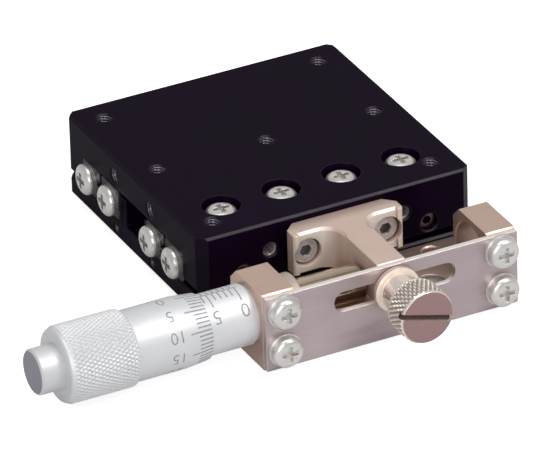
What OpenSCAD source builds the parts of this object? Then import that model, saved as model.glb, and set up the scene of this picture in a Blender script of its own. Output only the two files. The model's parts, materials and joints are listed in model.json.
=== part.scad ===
// Linear translation stage: a crossed-roller table driven by a micrometer head.
// The origin is the middle of the base's underside. X is the travel and -Y the micrometer side.

/* [Stage] */
// Side of the square base and table
stage_w = 50; // [46:1:64]
// Full travel of the table, half to each side of the middle
travel = 13; // [6:0.5:13]
// Thickness of the base plate
base_t = 3.4; // [3.2:0.1:5]
// Thickness of the table over its rails
roof_t = 5.1; // [4.6:0.1:7]
// Running gap above and below each rail
run_gap = 0.4; // [0.3:0.05:0.6]
// Gap under the walls of the table
skirt_gap = 1; // [0.6:0.1:1.6]
// Chamfer on the upright corners
corner_c = 1.6; // [0.8:0.1:2.2]
// Chamfer on the flat edges
edge_c = 0.4; // [0.2:0.05:0.6]

/* [Rails] */
// Height of a rail
rail_h = 5.4; // [5:0.1:6.4]
// Width of a rail
rail_w = 6.2; // [5.8:0.1:6.4]
// Gap between the two rails of a pair
rail_gap = 0.8; // [0.7:0.05:1]
// Distance of each line of rollers from the middle
rail_axis_y = 11.9; // [11.7:0.1:12.6]
// Distance of the screw holes from the line of rollers
rail_hole_off = 4.1; // [3.9:0.1:4.3]
// Pitch of the screws along a rail
rail_pitch = 11; // [9:0.5:12]
// Diameter of a roller
roller_d = 2; // [1.6:0.1:2.2]
// Pitch of the rollers
roller_pitch = 4; // [3.2:0.1:4.2]
// Rollers in each cage
roller_n = 9; // [5:1:9]
// Clearance between a roller and its groove
roller_gap = 0.06; // [0.04:0.01:0.1]
// Thickness of a roller cage
cage_t = 0.4; // [0.3:0.05:0.5]

/* [Tapped holes] */
// Pitch of the square of tapped holes on the table
mount_pitch = 40; // [38:0.5:41]
// Depth of the tapped holes on the table
mount_depth = 4.5; // [3:0.1:4.5]
// Pitch of the square of tapped holes under the base
base_pitch = 32; // [28:0.5:33]
// Distance of the side holes from the middle
side_hole_y = 6.6; // [5:0.1:8]

/* [Micrometer bracket] */
// Sideways place of the bracket
bracket_x = -0.5; // [-1:0.1:1]
// Width of the bracket over both posts
bracket_w = 45.8; // [45:0.1:48]
// Width of the post that holds the micrometer
left_post_w = 5.7; // [5:0.1:6.5]
// Width of the free post
right_post_w = 5.2; // [5:0.1:6.5]
// Reach of the bracket in front of the base
bracket_reach = 19.3; // [19:0.1:21]
// Depth of the posts
post_d = 11.4; // [11:0.1:12.4]
// Height of the posts
post_h = 13.8; // [13.5:0.1:14.2]
// Chamfer along the upper back edge of the posts
post_c = 2; // [1:0.1:2.4]
// Height of the micrometer axis
axis_z = 7.8; // [7.6:0.05:7.9]
// Distance of the micrometer axis in front of the base
axis_reach = 13.5; // [13.3:0.05:13.7]

/* [Lug bracket] */
// Width of the flange that is screwed to the table
flange_w = 20; // [19:0.5:21]
// Thickness of the flange
flange_t = 4.2; // [3.8:0.1:4.6]
// Width of the lug
lug_w = 5; // [4:0.1:6]
// Height of the upper face
lug_top = 13.4; // [13:0.1:13.8]
// Height of the lower face
lug_bottom = 6.1; // [5:0.1:6.2]
// Fillet between lug and flange
lug_fillet = 3; // [1:0.1:3.2]
// Depth of the milled relief beside the lug
relief_d = 0.5; // [0.2:0.05:0.8]
// Gap between the lug and the clamp plate
lug_gap = 0.2; // [0.1:0.05:0.4]
// Distance of the flange screws from the middle
lug_screw_x = 7.3; // [7.2:0.05:7.4]
// Height of the row of holes on the front of the table
front_hole_z = 9.6; // [9.5:0.05:9.8]

/* [Clamp] */
// Thickness of the clamp plate
plate_t = 1; // [0.8:0.1:1.5]
// Height of the clamp plate
plate_h = 13.3; // [13:0.1:13.6]
// Height of the clamp screw
clamp_z = 9.3; // [9.2:0.05:9.4]
// Height of the slot in the clamp plate
slot_h = 3.6; // [3.5:0.1:4]
// Diameter of the knurled head
thumb_d = 9.7; // [8.5:0.1:11]
// Length of the knurled head
thumb_len = 7.2; // [5:0.1:9]
// Diameter of the neck behind the knurled head
neck_d = 6.6; // [5:0.1:7.4]
// Length of the neck
neck_len = 3; // [2:0.1:5]
// Play between the loosened clamp and its plate
clamp_play = 0.15; // [0.15:0.05:0.3]

/* [Micrometer head] */
// Diameter of the mounting stem
stem_d = 9.5; // [9.3:0.1:9.6]
// Length of the stem inside the post
stem_out = 2.8; // [1:0.1:5]
// Diameter of the graduated sleeve
sleeve_d = 10.2; // [10:0.1:10.6]
// Distance from the post to the zero line
zero_off = 2.1; // [1.5:0.1:2.6]
// Diameter of the thimble
thimble_d = 11.9; // [11.8:0.1:12.4]
// Length of the thimble with its grip
thimble_len = 25.4; // [25:0.1:29]
// Length of the graduated bevel
bevel_len = 4; // [2.5:0.1:4.5]
// Diameter of the knurled grip
grip_d = 13; // [12.6:0.1:14]
// Length of the knurled grip
grip_len = 11.6; // [9:0.1:13]
// Diameter of the end cap
cap_d = 7.7; // [7:0.1:9]
// Length of the end cap
cap_len = 4.1; // [3:0.1:6]
// Diameter of the spindle
spindle_d = 6.5; // [6:0.1:6.5]
// Diameter of the spindle's screw
screw_d = 5.6; // [5:0.1:5.8]

/* [Hidden] */
$fn = 48;

// A cut runs past the face that it opens by this much.
over = 1;

// Fits
thread_gap = 0.05;
run_fit = 0.05;
hole_gap = 0.2;
head_gap = 0.6;
seat_fit = 0.1;
tip_gap = 0.4;
screw_end_gap = 0.2;

// Heights of the stack
rail_z0 = base_t + run_gap;
rail_z1 = rail_z0 + rail_h;
rail_zc = rail_z0 + rail_h / 2;
ceiling_z = rail_z1 + run_gap;
stage_h = ceiling_z + roof_t;
skirt_z = base_t + skirt_gap;

// Screw sizes: thread, tapping drill, head diameter and head height
m2_d = 2;
m2_head_d = 3.8;
m2_head_h = 1.6;
m3_d = 3;
m3_drill = 2.5;
m3_head_d = 5.4;
m3_head_h = 1.8;
m25_d = 2.5;
m25_head_d = 4.5;
m25_head_h = 2.2;
m25_low_head_h = 0.9;

// Rails
rail_len = stage_w;
rail_out = rail_gap / 2 + rail_w;
rail_hole_y = rail_axis_y + rail_hole_off;
inner_hole_y = rail_axis_y - rail_hole_off;
rail_screw_xs = [for (i = [-1.5:1:1.5]) i * rail_pitch];
rail_edge_c = 0.3;
vee = (roller_d / 2 + roller_gap) * sqrt(2);
vee_relief_w = 0.3;
vee_relief_d = 0.25;
roller_len = roller_d * 0.9;
roller_xs = [for (i = [0:roller_n - 1]) (i - (roller_n - 1) / 2) * roller_pitch];
cage_h = rail_h - 1.4;
cage_len = roller_n * roller_pitch;
end_thread = 5;
end_tip_gap = 0.5;
head_sink = 0.2;
inner_thread = 2.4;
rear_thread = 3;

// Base
shoulder_w = 1.8;
shoulder_end = 0.5;
shoulder_z = rail_zc + 1.6;
shoulder_y = rail_axis_y - rail_out;
channel_y = shoulder_y - shoulder_w;
pad_y = rail_axis_y - rail_gap / 2 - 0.3;
base_hole_z = base_t * 0.46;
base_side_drill = 1.6;
base_side_depth = 4;

// Table
wall_y = rail_axis_y + rail_out;
preload_gap = 0.3;
seat_y = rail_axis_y + rail_gap / 2 + 0.3;
top_sink = 0.5;
top_head_h = 2;
cbore_d = m3_head_d + 2 * head_gap;
front_y = -stage_w / 2;
preload_xs = [-17, 0, 17];
spare_hole_x = 12.2;
front_hole_depth = 5.4;
side_hole_z = ceiling_z + roof_t * 0.38;
side_hole_depth = 5;

// Spring and its pins
pin_d = 2;
base_pin_x = -17;
table_pin_x = 16;
spring_r = 2;
wire_r = 0.25;
pin_seat = 2;
loop_r = pin_d / 2 + wire_r + 0.15;
spring_turns = 15;
spring_from = base_pin_x + loop_r + 2;
spring_to = table_pin_x - loop_r - 2;

// Micrometer bracket
post_front_y = front_y - bracket_reach;
post_back_y = post_front_y + post_d;
left_x = bracket_x - bracket_w / 2;
right_x = bracket_x + bracket_w / 2;
left_in = left_x + left_post_w;
right_in = right_x - right_post_w;
axis_y = front_y - axis_reach;
post_edge_c = 0.3;
bore_d = stem_d + 2 * run_fit;
bore_c = 0.2;
web_t = axis_z - bore_d / 2 - bore_c - 0.1;
tongue_t = 1.1;
tongue_l = bracket_reach - 3.8;
tongue_w = bracket_w - 17.8;
web_seat_z = web_t - m25_low_head_h - seat_fit;
web_screw_x = tongue_w / 2 - 2.3;
web_screw_y = front_y - tongue_l + 4.2;
web_hole_d = 3.2;
web_hole_x = bracket_w / 2 - 6.5;
web_hole_y = front_y - 2.6;

// Clamp plate
plate_y = post_front_y - plate_t;
plate_z0 = 0.2;
plate_screw_x = bracket_w / 2 - 3.2;
plate_screw_edge = 3.5;
plate_screw_pitch = 7.1;
plate_screw_zs = [plate_z0 + plate_screw_edge, plate_z0 + plate_screw_edge + plate_screw_pitch];
plate_thread = 1.1;
washer_t = 0.5;
washer_d = 5.8;
slot_len = travel + m3_d + 6;
plate_edge_c = 0.15;

// Lug bracket
lug_front_y = post_front_y + lug_gap;
flange_front_y = front_y - flange_t;
flange_c = 1.8;
flange_edge_c = 0.3;
relief_y = flange_front_y + relief_d;
relief_x = flange_w / 2 - 1.6;
relief_c = 0.45;
lug_head_sink = 0.6;
lug_seat_y = relief_y + lug_head_sink + m25_head_h;
lug_cbore_d = m25_head_d + 1.5;
lug_thread = 3.8;
pad_d = 2.6;
pad_t = 1.2;

// Clamp screw
collar_d = 7.9;
collar_t = 0.8;
collar_back_y = plate_y - clamp_play;
neck_back_y = collar_back_y - collar_t - run_fit;
thumb_back_y = neck_back_y - neck_len;
thumb_front_y = thumb_back_y - thumb_len;
thumb_slot_w = 1;
thumb_slot_d = 1.2;
thumb_c = 0.5;

// Micrometer head
stem_end = left_in + stem_out;
stem_c = 0.3;
set_screw_l = axis_z - stem_d / 2 - thread_gap - 0.6;
thimble_x = left_x - zero_off - travel / 2;
thimble_end = thimble_x - thimble_len;
thimble_wall = 0.55;
bevel_edge = 0.12;
end_wall = 2.2;
sleeve_end = left_x - zero_off - travel - 8.2;
shoulder_x = left_x + 1;
screw_bore_x = shoulder_x - travel / 2 - 0.6;
screw_end_d = 4;
ball_d = 3;
ball_reach = 0.35;
ball_gap = 0.05;
ball_x = -lug_w / 2 - ball_gap - ball_d / 2;
nose_x = ball_x + ball_d / 2 - ball_reach;
nose_c = 0.5;
grip_c = 1.1;
grip_side_c = 0.4;

module along_x(x, y, z) {
  translate([x, y, z]) rotate([0, 90, 0]) children();
}

// The local +Z of the children points to -Y.
module to_front(x, y, z) {
  translate([x, y, z]) rotate([90, 0, 0]) children();
}

module four_corners(pitch) {
  for (x = [-1, 1], y = [-1, 1]) translate([x * pitch / 2, y * pitch / 2, 0]) children();
}

module cut_rect(w, h, c_low, c_high) {
  polygon([[-w / 2 + c_low, 0], [w / 2 - c_low, 0], [w / 2, c_low], [w / 2, h - c_high],
           [w / 2 - c_high, h], [-w / 2 + c_high, h], [-w / 2, h - c_high], [-w / 2, c_low]]);
}

// A block with chamfered upright corners and chamfered lower and upper edges
module eased_block(w, d, h, c_corner, c_low, c_high) {
  intersection() {
    linear_extrude(h) translate([0, -d / 2]) cut_rect(w, d, c_corner, c_corner);
    translate([0, d / 2, 0]) rotate([90, 0, 0]) linear_extrude(d) cut_rect(w, h, c_low, c_high);
    translate([-w / 2, 0, 0]) rotate([90, 0, 90]) linear_extrude(w) cut_rect(d, h, c_low, c_high);
  }
}

// Drilled down from the local XY plane, with a small lead-in
module tapped_hole(d, depth) {
  lead = 0.25;
  translate([0, 0, -depth]) cylinder(d = d, h = depth + over);
  translate([0, 0, -lead]) cylinder(d1 = d, d2 = d + 2 * lead, h = lead);
  cylinder(d = d + 2 * lead, h = over);
}

module cross_recess(w, l, depth) {
  for (a = [0, 90]) rotate(a) translate([-l / 2, -w / 2, -depth]) cube([l, w, depth + over]);
}

// A pan head on the local XY plane, with its shank below
module pan_screw(d, head_d, head_h, length) {
  rim = head_h * 0.45;
  steps = 5;
  dome = [for (i = [0:steps]) let (a = 90 * i / steps)
          [head_d / 2 * (0.55 + 0.45 * cos(a)), rim + (head_h - rim) * sin(a)]];
  difference() {
    union() {
      rotate_extrude() polygon(concat([[0, 0], [head_d / 2, 0]], dome, [[0, head_h]]));
      translate([0, 0, -length]) cylinder(d = d, h = length + rim);
    }
    translate([0, 0, head_h]) cross_recess(d * 0.27, d * 0.95, head_h * 0.6);
  }
}

module socket_screw(d, head_d, head_h, length) {
  lip = 0.2;
  difference() {
    union() {
      rotate_extrude() polygon([[0, 0], [head_d / 2, 0], [head_d / 2, head_h - lip],
                                [head_d / 2 - lip, head_h], [0, head_h]]);
      translate([0, 0, -length]) cylinder(d = d, h = length + lip);
    }
    translate([0, 0, head_h * 0.45]) cylinder(d = d * 0.92, h = head_h, $fn = 6);
  }
}

module set_screw(d, length) {
  difference() {
    translate([0, 0, -length]) cylinder(d = d, h = length);
    translate([0, 0, -length * 0.4]) cylinder(d = d * 0.55, h = length, $fn = 6);
  }
}

// Section of a rail in its own Y and Z, with the line of rollers at the origin
module rail_section() {
  near = rail_gap / 2;
  h = rail_h / 2;
  c = rail_edge_c;
  open = vee - near;
  w = vee_relief_w / 2;
  polygon([[near, -h + c], [near + c, -h], [rail_out - c, -h], [rail_out, -h + c],
           [rail_out, h - c], [rail_out - c, h], [near + c, h], [near, h - c],
           [near, open], [vee - w, w], [vee + vee_relief_d, w],
           [vee + vee_relief_d, -w], [vee - w, -w], [near, -open]]);
}

module rail_bar() {
  difference() {
    translate([-rail_len / 2, 0, rail_zc]) rotate([90, 0, 90]) linear_extrude(rail_len)
      rail_section();
    for (s = [-1, 1]) along_x(s * rail_len / 2, rail_hole_off, rail_zc)
      translate([0, 0, s > 0 ? -end_thread - end_tip_gap : -over])
        cylinder(d = m3_d + 2 * thread_gap, h = end_thread + end_tip_gap + over);
  }
}

// Screws that sink into the rail from its upper face
module rail_screw_holes() {
  for (x = rail_screw_xs) translate([x, rail_hole_off, rail_z1]) {
    translate([0, 0, -rail_h - over]) cylinder(d = m2_d + hole_gap, h = rail_h + 2 * over);
    translate([0, 0, -m2_head_h - head_sink])
      cylinder(d = m2_head_d + hole_gap, h = m2_head_h + head_sink + over);
  }
}

// s is 1 for the rear pair and -1 for the front pair.
module at_rollers(s) {
  translate([0, s * rail_axis_y, 0]) children();
}

module inner_rail(s) {
  color("silver") at_rollers(s) scale([1, -s, 1]) difference() {
    rail_bar();
    rail_screw_holes();
  }
}

module inner_rail_rear() {
  inner_rail(1);
}

module inner_rail_front() {
  inner_rail(-1);
}

module inner_rail_screws() {
  color("gainsboro") for (s = [-1, 1], x = rail_screw_xs)
    translate([x, s * inner_hole_y, rail_z1 - m2_head_h - head_sink])
      socket_screw(m2_d, m2_head_d, m2_head_h, rail_h - m2_head_h - head_sink + inner_thread);
}

module outer_rail_rear() {
  color("silver") at_rollers(1) difference() {
    rail_bar();
    translate([0, 0, 2 * rail_zc]) mirror([0, 0, 1]) rail_screw_holes();
  }
}

module outer_rail_front() {
  color("silver") at_rollers(-1) mirror([0, 1, 0]) difference() {
    rail_bar();
    for (x = rail_screw_xs) translate([x, rail_hole_off, rail_z0 - over])
      cylinder(d = m3_d + 2 * thread_gap, h = rail_h + 2 * over);
  }
}

module end_screws(y) {
  for (sx = [-1, 1], sy = [-1, 1])
    translate([sx * rail_len / 2, sy * y, rail_zc]) rotate([0, sx * 90, 0])
      pan_screw(m3_d, m3_head_d, m3_head_h, end_thread);
}

module base_end_screws() {
  color("gainsboro") end_screws(inner_hole_y);
}

module table_end_screws() {
  color("gainsboro") end_screws(rail_hole_y);
}

module base_plate() {
  shoulder_l = rail_len - 2 * shoulder_end;
  color([0.13, 0.12, 0.14]) difference() {
    union() {
      eased_block(stage_w, stage_w, base_t, corner_c, edge_c, edge_c);
      translate([bracket_x - tongue_w / 2, front_y - tongue_l, 0])
        cube([tongue_w, tongue_l + over, tongue_t]);
      for (s = [-1, 1]) {
        translate([-shoulder_l / 2, s > 0 ? channel_y : -pad_y, base_t - over])
          cube([shoulder_l, pad_y - channel_y, run_gap + over]);
        translate([-shoulder_l / 2, s > 0 ? channel_y : -shoulder_y, base_t - over])
          cube([shoulder_l, shoulder_w, shoulder_z - base_t + over]);
      }
    }
    // threads of the inner rail screws
    for (s = [-1, 1], x = rail_screw_xs)
      translate([x, s * inner_hole_y, rail_z0 - inner_thread - tip_gap])
        cylinder(d = m2_d + 2 * thread_gap, h = inner_thread + tip_gap + over);
    // tapped mounting holes from below
    four_corners(base_pitch) mirror([0, 0, 1]) tapped_hole(m3_drill, base_t + over);
    // small tapped holes in the left end
    for (s = [-1, 1]) translate([-stage_w / 2, s * side_hole_y, base_hole_z]) rotate([0, -90, 0])
      tapped_hole(base_side_drill, base_side_depth);
    // seat of the spring pin
    translate([base_pin_x, 0, base_t - pin_seat])
      cylinder(d = pin_d + 2 * thread_gap, h = pin_seat + over);
    // threads of the screws that hold the bracket on the tongue
    at_web_screws() translate([0, 0, -over])
      cylinder(d = m25_d + 2 * thread_gap, h = tongue_t + 2 * over);
  }
}

module at_web_screws() {
  for (s = [-1, 1]) translate([bracket_x + s * web_screw_x, web_screw_y, 0]) children();
}

module base_spring_pin() {
  color("silver") translate([base_pin_x, 0, base_t - pin_seat])
    cylinder(d = pin_d, h = pin_seat + rail_zc - base_t + 1.2);
}

module table_spring_pin() {
  top = ceiling_z + pin_seat;
  color("silver") translate([table_pin_x, 0, rail_zc - 1.2])
    cylinder(d = pin_d, h = top - rail_zc + 1.2);
}

// Centre line of the spring: a loop round each pin and a helix between them
function loop_point(x, a, dir) = [x + dir * loop_r * cos(a), loop_r * sin(a), 0];
function helix_point(t) = let (a = 360 * spring_turns * t)
  [spring_from + (spring_to - spring_from) * t, spring_r * cos(a), spring_r * sin(a)];
helix_steps = spring_turns * 12;
spring_path = concat(
  [for (a = [150:-30:-150]) loop_point(base_pin_x, a, -1)],
  [[spring_from - 1, 0.4, 0]],
  [for (i = [0:helix_steps]) helix_point(i / helix_steps)],
  [[spring_to + 1, 0.4, 0]],
  [for (a = [-150:30:150]) loop_point(table_pin_x, a, 1)]);

function unit(v) = v / norm(v);
function tangent(p, i) = unit(p[min(i + 1, len(p) - 1)] - p[max(i - 1, 0)]);
function ring_axes(t) = let (
    up = abs(t[0]) < 0.9 ? [1, 0, 0] : [0, 0, 1],
    u = unit(cross(t, up)))
  [u, cross(t, u)];

module wire(path, r, sides) {
  n = len(path);
  points = [for (i = [0:n - 1]) let (f = ring_axes(tangent(path, i)))
            for (k = [0:sides - 1]) let (a = 360 * k / sides)
            path[i] + r * (cos(a) * f[0] + sin(a) * f[1])];
  sides_faces = [for (i = [0:n - 2], k = [0:sides - 1]) let (m = (k + 1) % sides)
                 [i * sides + k, i * sides + m, (i + 1) * sides + m, (i + 1) * sides + k]];
  polyhedron(points, concat([[for (k = [sides - 1:-1:0]) k]], sides_faces,
                            [[for (k = [0:sides - 1]) (n - 1) * sides + k]]));
}

module return_spring() {
  color("silver") translate([0, 0, rail_zc]) wire(spring_path, wire_r, 6);
}

// Side outline of a post in Y and Z
module post_outline() {
  polygon([[post_front_y, 0], [front_y, 0], [front_y, web_t], [post_back_y, web_t],
           [post_back_y, post_h - post_c], [post_back_y - post_c, post_h],
           [post_front_y + post_edge_c, post_h], [post_front_y, post_h - post_edge_c]]);
}

// Chamfer at the mouth of a bore that opens towards the local +Z
module bore_rim() {
  translate([0, 0, -bore_c]) cylinder(d1 = bore_d, d2 = bore_d + 2 * bore_c, h = bore_c);
  cylinder(d = bore_d + 2 * bore_c, h = over);
}
module micrometer_bracket() {
  color([0.76, 0.7, 0.67]) difference() {
    union() {
      for (p = [[left_x, left_post_w], [right_in, right_post_w]])
        translate([p[0], 0, 0]) rotate([90, 0, 90]) linear_extrude(p[1]) post_outline();
      translate([left_x, post_front_y, 0]) cube([bracket_w, bracket_reach, web_t]);
    }
    // one bore through both posts, so that the micrometer fits in either
    along_x(left_x - over, axis_y, axis_z) cylinder(d = bore_d, h = bracket_w + 2 * over);
    along_x(left_in, axis_y, axis_z) bore_rim();
    along_x(right_x, axis_y, axis_z) bore_rim();
    along_x(right_in, axis_y, axis_z) mirror([0, 0, 1]) bore_rim();
    // set screw that holds the stem
    translate([left_x + left_post_w / 2, axis_y, -over])
      cylinder(d = m3_d + 2 * thread_gap, h = axis_z - stem_d / 4 + over);
    // screws of the clamp plate
    for (s = [-1, 1], z = plate_screw_zs) to_front(bracket_x + s * plate_screw_x, post_front_y, z)
      translate([0, 0, -plate_thread - tip_gap])
        cylinder(d = m3_d + 2 * thread_gap, h = plate_thread + tip_gap + over);
    // rebate over the tongue of the base
    translate([bracket_x - tongue_w / 2 - seat_fit, front_y - tongue_l - seat_fit, -over])
      cube([tongue_w + 2 * seat_fit, tongue_l + seat_fit + over, tongue_t + seat_fit + over]);
    at_web_screws() {
      cylinder(d = m25_d + hole_gap, h = web_t + over);
      translate([0, 0, web_seat_z]) cylinder(d = m25_head_d + hole_gap, h = web_t);
    }
    // through holes at the sides of the web
    for (s = [-1, 1]) translate([bracket_x + s * web_hole_x, web_hole_y, web_t])
      tapped_hole(web_hole_d, web_t + over);
  }
}

module bracket_screws() {
  color("gainsboro") at_web_screws() translate([0, 0, web_seat_z])
    socket_screw(m25_d, m25_head_d, m25_low_head_h, web_seat_z - screw_end_gap);
}

module stem_set_screw() {
  color("gray") translate([left_x + left_post_w / 2, axis_y, axis_z - stem_d / 2 - thread_gap])
    mirror([0, 0, 1]) translate([0, 0, set_screw_l]) set_screw(m3_d, set_screw_l);
}

module clamp_plate() {
  color([0.72, 0.68, 0.68]) difference() {
    to_front(bracket_x, post_front_y, plate_z0) linear_extrude(plate_t)
      cut_rect(bracket_w, plate_h, plate_edge_c, plate_edge_c);
    for (s = [-1, 1], z = plate_screw_zs) to_front(bracket_x + s * plate_screw_x, post_front_y, z)
      translate([0, 0, -over]) cylinder(d = m3_d + 2 * hole_gap, h = plate_t + 2 * over);
    // slot along the travel
    to_front(0, post_front_y, clamp_z) translate([0, 0, -over]) linear_extrude(plate_t + 2 * over) {
      square([slot_len - slot_h, slot_h], center = true);
      for (s = [-1, 1]) translate([s * (slot_len - slot_h) / 2, 0]) circle(d = slot_h);
    }
  }
}

module at_plate_screws() {
  for (s = [-1, 1], z = plate_screw_zs) to_front(bracket_x + s * plate_screw_x, plate_y, z) children();
}

module clamp_plate_washers() {
  color("gainsboro") at_plate_screws() difference() {
    cylinder(d = washer_d, h = washer_t);
    translate([0, 0, -over]) cylinder(d = m3_d + 2 * hole_gap, h = washer_t + 2 * over);
  }
}

module clamp_plate_screws() {
  color("gainsboro") at_plate_screws() translate([0, 0, washer_t])
    pan_screw(m3_d, m3_head_d, m3_head_h, washer_t + plate_t + plate_thread);
}

// The sleeve stands on the post; its stem goes through it.
module micrometer_sleeve() {
  neck = 0.6;
  color([0.86, 0.87, 0.88]) along_x(0, axis_y, axis_z) difference() {
    rotate_extrude() polygon([
      [0, sleeve_end], [sleeve_d / 2, sleeve_end], [sleeve_d / 2, left_x - neck],
      [stem_d / 2, left_x - neck], [stem_d / 2, stem_end - stem_c], [stem_d / 2 - stem_c, stem_end],
      [0, stem_end]]);
    translate([0, 0, screw_bore_x])
      cylinder(d = spindle_d + 2 * run_fit, h = stem_end - screw_bore_x + over);
    translate([0, 0, sleeve_end - over])
      cylinder(d = screw_d + 2 * run_fit, h = screw_bore_x - sleeve_end + 2 * over);
  }
}

module table_plate() {
  pocket_w = wall_y - seat_y;
  color([0.13, 0.12, 0.14]) difference() {
    translate([0, 0, skirt_z])
      eased_block(stage_w, stage_w, stage_h - skirt_z, corner_c, edge_c, edge_c);
    // channel over the base, its seats for the outer rails, and play for the preload
    translate([-stage_w / 2 - over, -seat_y, skirt_z - over])
      cube([stage_w + 2 * over, 2 * seat_y, ceiling_z - skirt_z + over]);
    translate([-stage_w / 2 - over, seat_y - over, skirt_z - over])
      cube([stage_w + 2 * over, pocket_w + over, rail_z1 - skirt_z + over]);
    translate([-stage_w / 2 - over, -wall_y - preload_gap, skirt_z - over])
      cube([stage_w + 2 * over, pocket_w + preload_gap + over, rail_z1 - skirt_z + over]);
    // tapped mounting holes
    translate([0, 0, stage_h]) {
      four_corners(mount_pitch) tapped_hole(m3_drill, mount_depth);
      for (x = [-mount_pitch / 2, 0, mount_pitch / 2]) translate([x, 0, 0])
        tapped_hole(m3_drill, mount_depth);
    }
    // counterbored screws of the front outer rail
    for (x = rail_screw_xs) translate([x, -rail_hole_y, stage_h]) {
      translate([0, 0, -top_sink - top_head_h]) cylinder(d = cbore_d, h = top_sink + top_head_h + over);
      translate([0, 0, -roof_t - 2 * over]) cylinder(d = m3_d + 2 * hole_gap, h = roof_t + 2 * over);
    }
    // threads of the rear outer rail's screws
    for (x = rail_screw_xs) translate([x, rail_hole_y, rail_z1 - over])
      cylinder(d = m2_d + 2 * thread_gap, h = rear_thread + tip_gap + over);
    // row of tapped holes on the front: two for the lug bracket and two spare ones
    for (s = [-1, 1]) {
      to_front(s * lug_screw_x, front_y, front_hole_z)
        tapped_hole(m25_d + 2 * thread_gap, front_hole_depth);
      to_front(s * spare_hole_x, front_y, front_hole_z) tapped_hole(m3_drill, front_hole_depth);
    }
    // preload screws
    for (x = preload_xs) to_front(x, front_y, rail_zc)
      tapped_hole(m3_d + 2 * thread_gap, stage_w / 2 - wall_y + over);
    // tapped holes in the left end
    for (s = [-1, 1]) translate([-stage_w / 2, s * side_hole_y, side_hole_z]) rotate([0, -90, 0])
      tapped_hole(m3_drill, side_hole_depth);
    // seat of the spring pin
    translate([table_pin_x, 0, ceiling_z - over])
      cylinder(d = pin_d + 2 * thread_gap, h = pin_seat + over);
  }
}

module table_top_screws() {
  color("gainsboro") for (x = rail_screw_xs)
    translate([x, -rail_hole_y, stage_h - top_sink - top_head_h])
      pan_screw(m3_d, m3_head_d, top_head_h, stage_h - top_sink - top_head_h - rail_z1 + 4);
}

module rear_rail_screws() {
  color("gainsboro") for (x = rail_screw_xs)
    translate([x, rail_hole_y, rail_z0 + m2_head_h + head_sink]) mirror([0, 0, 1])
      socket_screw(m2_d, m2_head_d, m2_head_h, rail_h - m2_head_h - head_sink + rear_thread);
}

module preload_screws() {
  length = stage_w / 2 - wall_y - 1;
  color("gray") for (x = preload_xs) to_front(x, -wall_y - length, rail_zc) set_screw(m3_d, length);
}

// Plan of the lug bracket's right half; a is the depth of the relief beside the lug.
function lug_half_plan(a) = let (
    half = lug_w / 2, r = lug_fillet, f = flange_w / 2, y = flange_front_y + a)
  concat([[half, lug_front_y]],
         [for (t = [0:15:90]) [half + r - r * cos(t), y - r + r * sin(t)]],
         a > 0 ? [[relief_x, y], [relief_x, flange_front_y]] : [],
         [[f - flange_edge_c, flange_front_y], [f, flange_front_y + flange_edge_c],
          [f, front_y - flange_c], [f - flange_c, front_y]]);

function mirrored(points) = [for (i = [len(points) - 1:-1:0]) [-points[i][0], points[i][1]]];

module lug_bracket() {
  half = lug_w / 2;
  plan = lug_half_plan(relief_d);
  color([0.78, 0.72, 0.69]) difference() {
    translate([0, 0, lug_bottom]) linear_extrude(lug_top - lug_bottom)
      polygon(concat(plan, mirrored(plan)));
    // bevel along the upper edge of each relief
    for (s = [-1, 1]) translate([0, 0, lug_top - relief_c]) {
      translate([s * (half + lug_fillet + relief_x) / 2, relief_y, 0]) rotate([90, 0, 90])
        linear_extrude(relief_x - half - lug_fillet, center = true)
          polygon([[0, 0], [relief_c + over, relief_c + over], [-relief_d - over, relief_c + over],
                   [-relief_d - over, 0]]);
      translate([s * (half + lug_fillet), relief_y - lug_fillet, 0])
        cylinder(r1 = lug_fillet, r2 = lug_fillet + relief_c + over, h = relief_c + over);
    }
    // chamfer on the lug's upper front edge
    translate([0, lug_front_y, lug_top]) rotate([45, 0, 0])
      cube([lug_w + 2 * over, post_edge_c * sqrt(2), post_edge_c * sqrt(2)], center = true);
    // counterbored screws
    for (s = [-1, 1]) to_front(s * lug_screw_x, lug_seat_y, front_hole_z) {
      translate([0, 0, -flange_t]) cylinder(d = m25_d + 2 * hole_gap, h = 2 * flange_t);
      cylinder(d = lug_cbore_d, h = flange_t);
    }
    // thread of the clamp screw
    to_front(0, lug_front_y, clamp_z) translate([0, 0, -lug_thread])
      cylinder(d = m3_d + 2 * run_fit, h = lug_thread + over);
    // seat of the contact pad
    along_x(-half - over, axis_y, axis_z) cylinder(d = pad_d + 2 * thread_gap, h = pad_t + over);
  }
}

module lug_screws() {
  color("gainsboro") for (s = [-1, 1]) to_front(s * lug_screw_x, lug_seat_y, front_hole_z)
    socket_screw(m25_d, m25_head_d, m25_head_h, front_y - lug_seat_y + front_hole_depth - tip_gap);
}

module contact_pad() {
  color("silver") along_x(-lug_w / 2, axis_y, axis_z) cylinder(d = pad_d, h = pad_t);
}

module rollers(s) {
  color("whitesmoke") at_rollers(s) for (i = [0:roller_n - 1])
    translate([roller_xs[i], 0, rail_zc]) rotate([i % 2 == 0 ? 45 : -45, 0, 0])
      cylinder(d = roller_d, h = roller_len, center = true, $fn = 32);
}

module rollers_rear() {
  rollers(1);
}

module rollers_front() {
  rollers(-1);
}

module roller_cage(s) {
  color("goldenrod") at_rollers(s) difference() {
    translate([-cage_len / 2, -cage_t / 2, rail_zc - cage_h / 2]) cube([cage_len, cage_t, cage_h]);
    for (i = [0:roller_n - 1]) translate([roller_xs[i], 0, rail_zc])
      rotate([i % 2 == 0 ? 45 : -45, 0, 0])
        cylinder(d = roller_d + 2 * roller_gap, h = roller_len + 2 * roller_gap, center = true, $fn = 32);
  }
}

module roller_cage_rear() {
  roller_cage(1);
}

module roller_cage_front() {
  roller_cage(-1);
}

module spindle_ball() {
  color("silver") translate([ball_x, axis_y, axis_z]) sphere(d = ball_d, $fn = 32);
}

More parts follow.
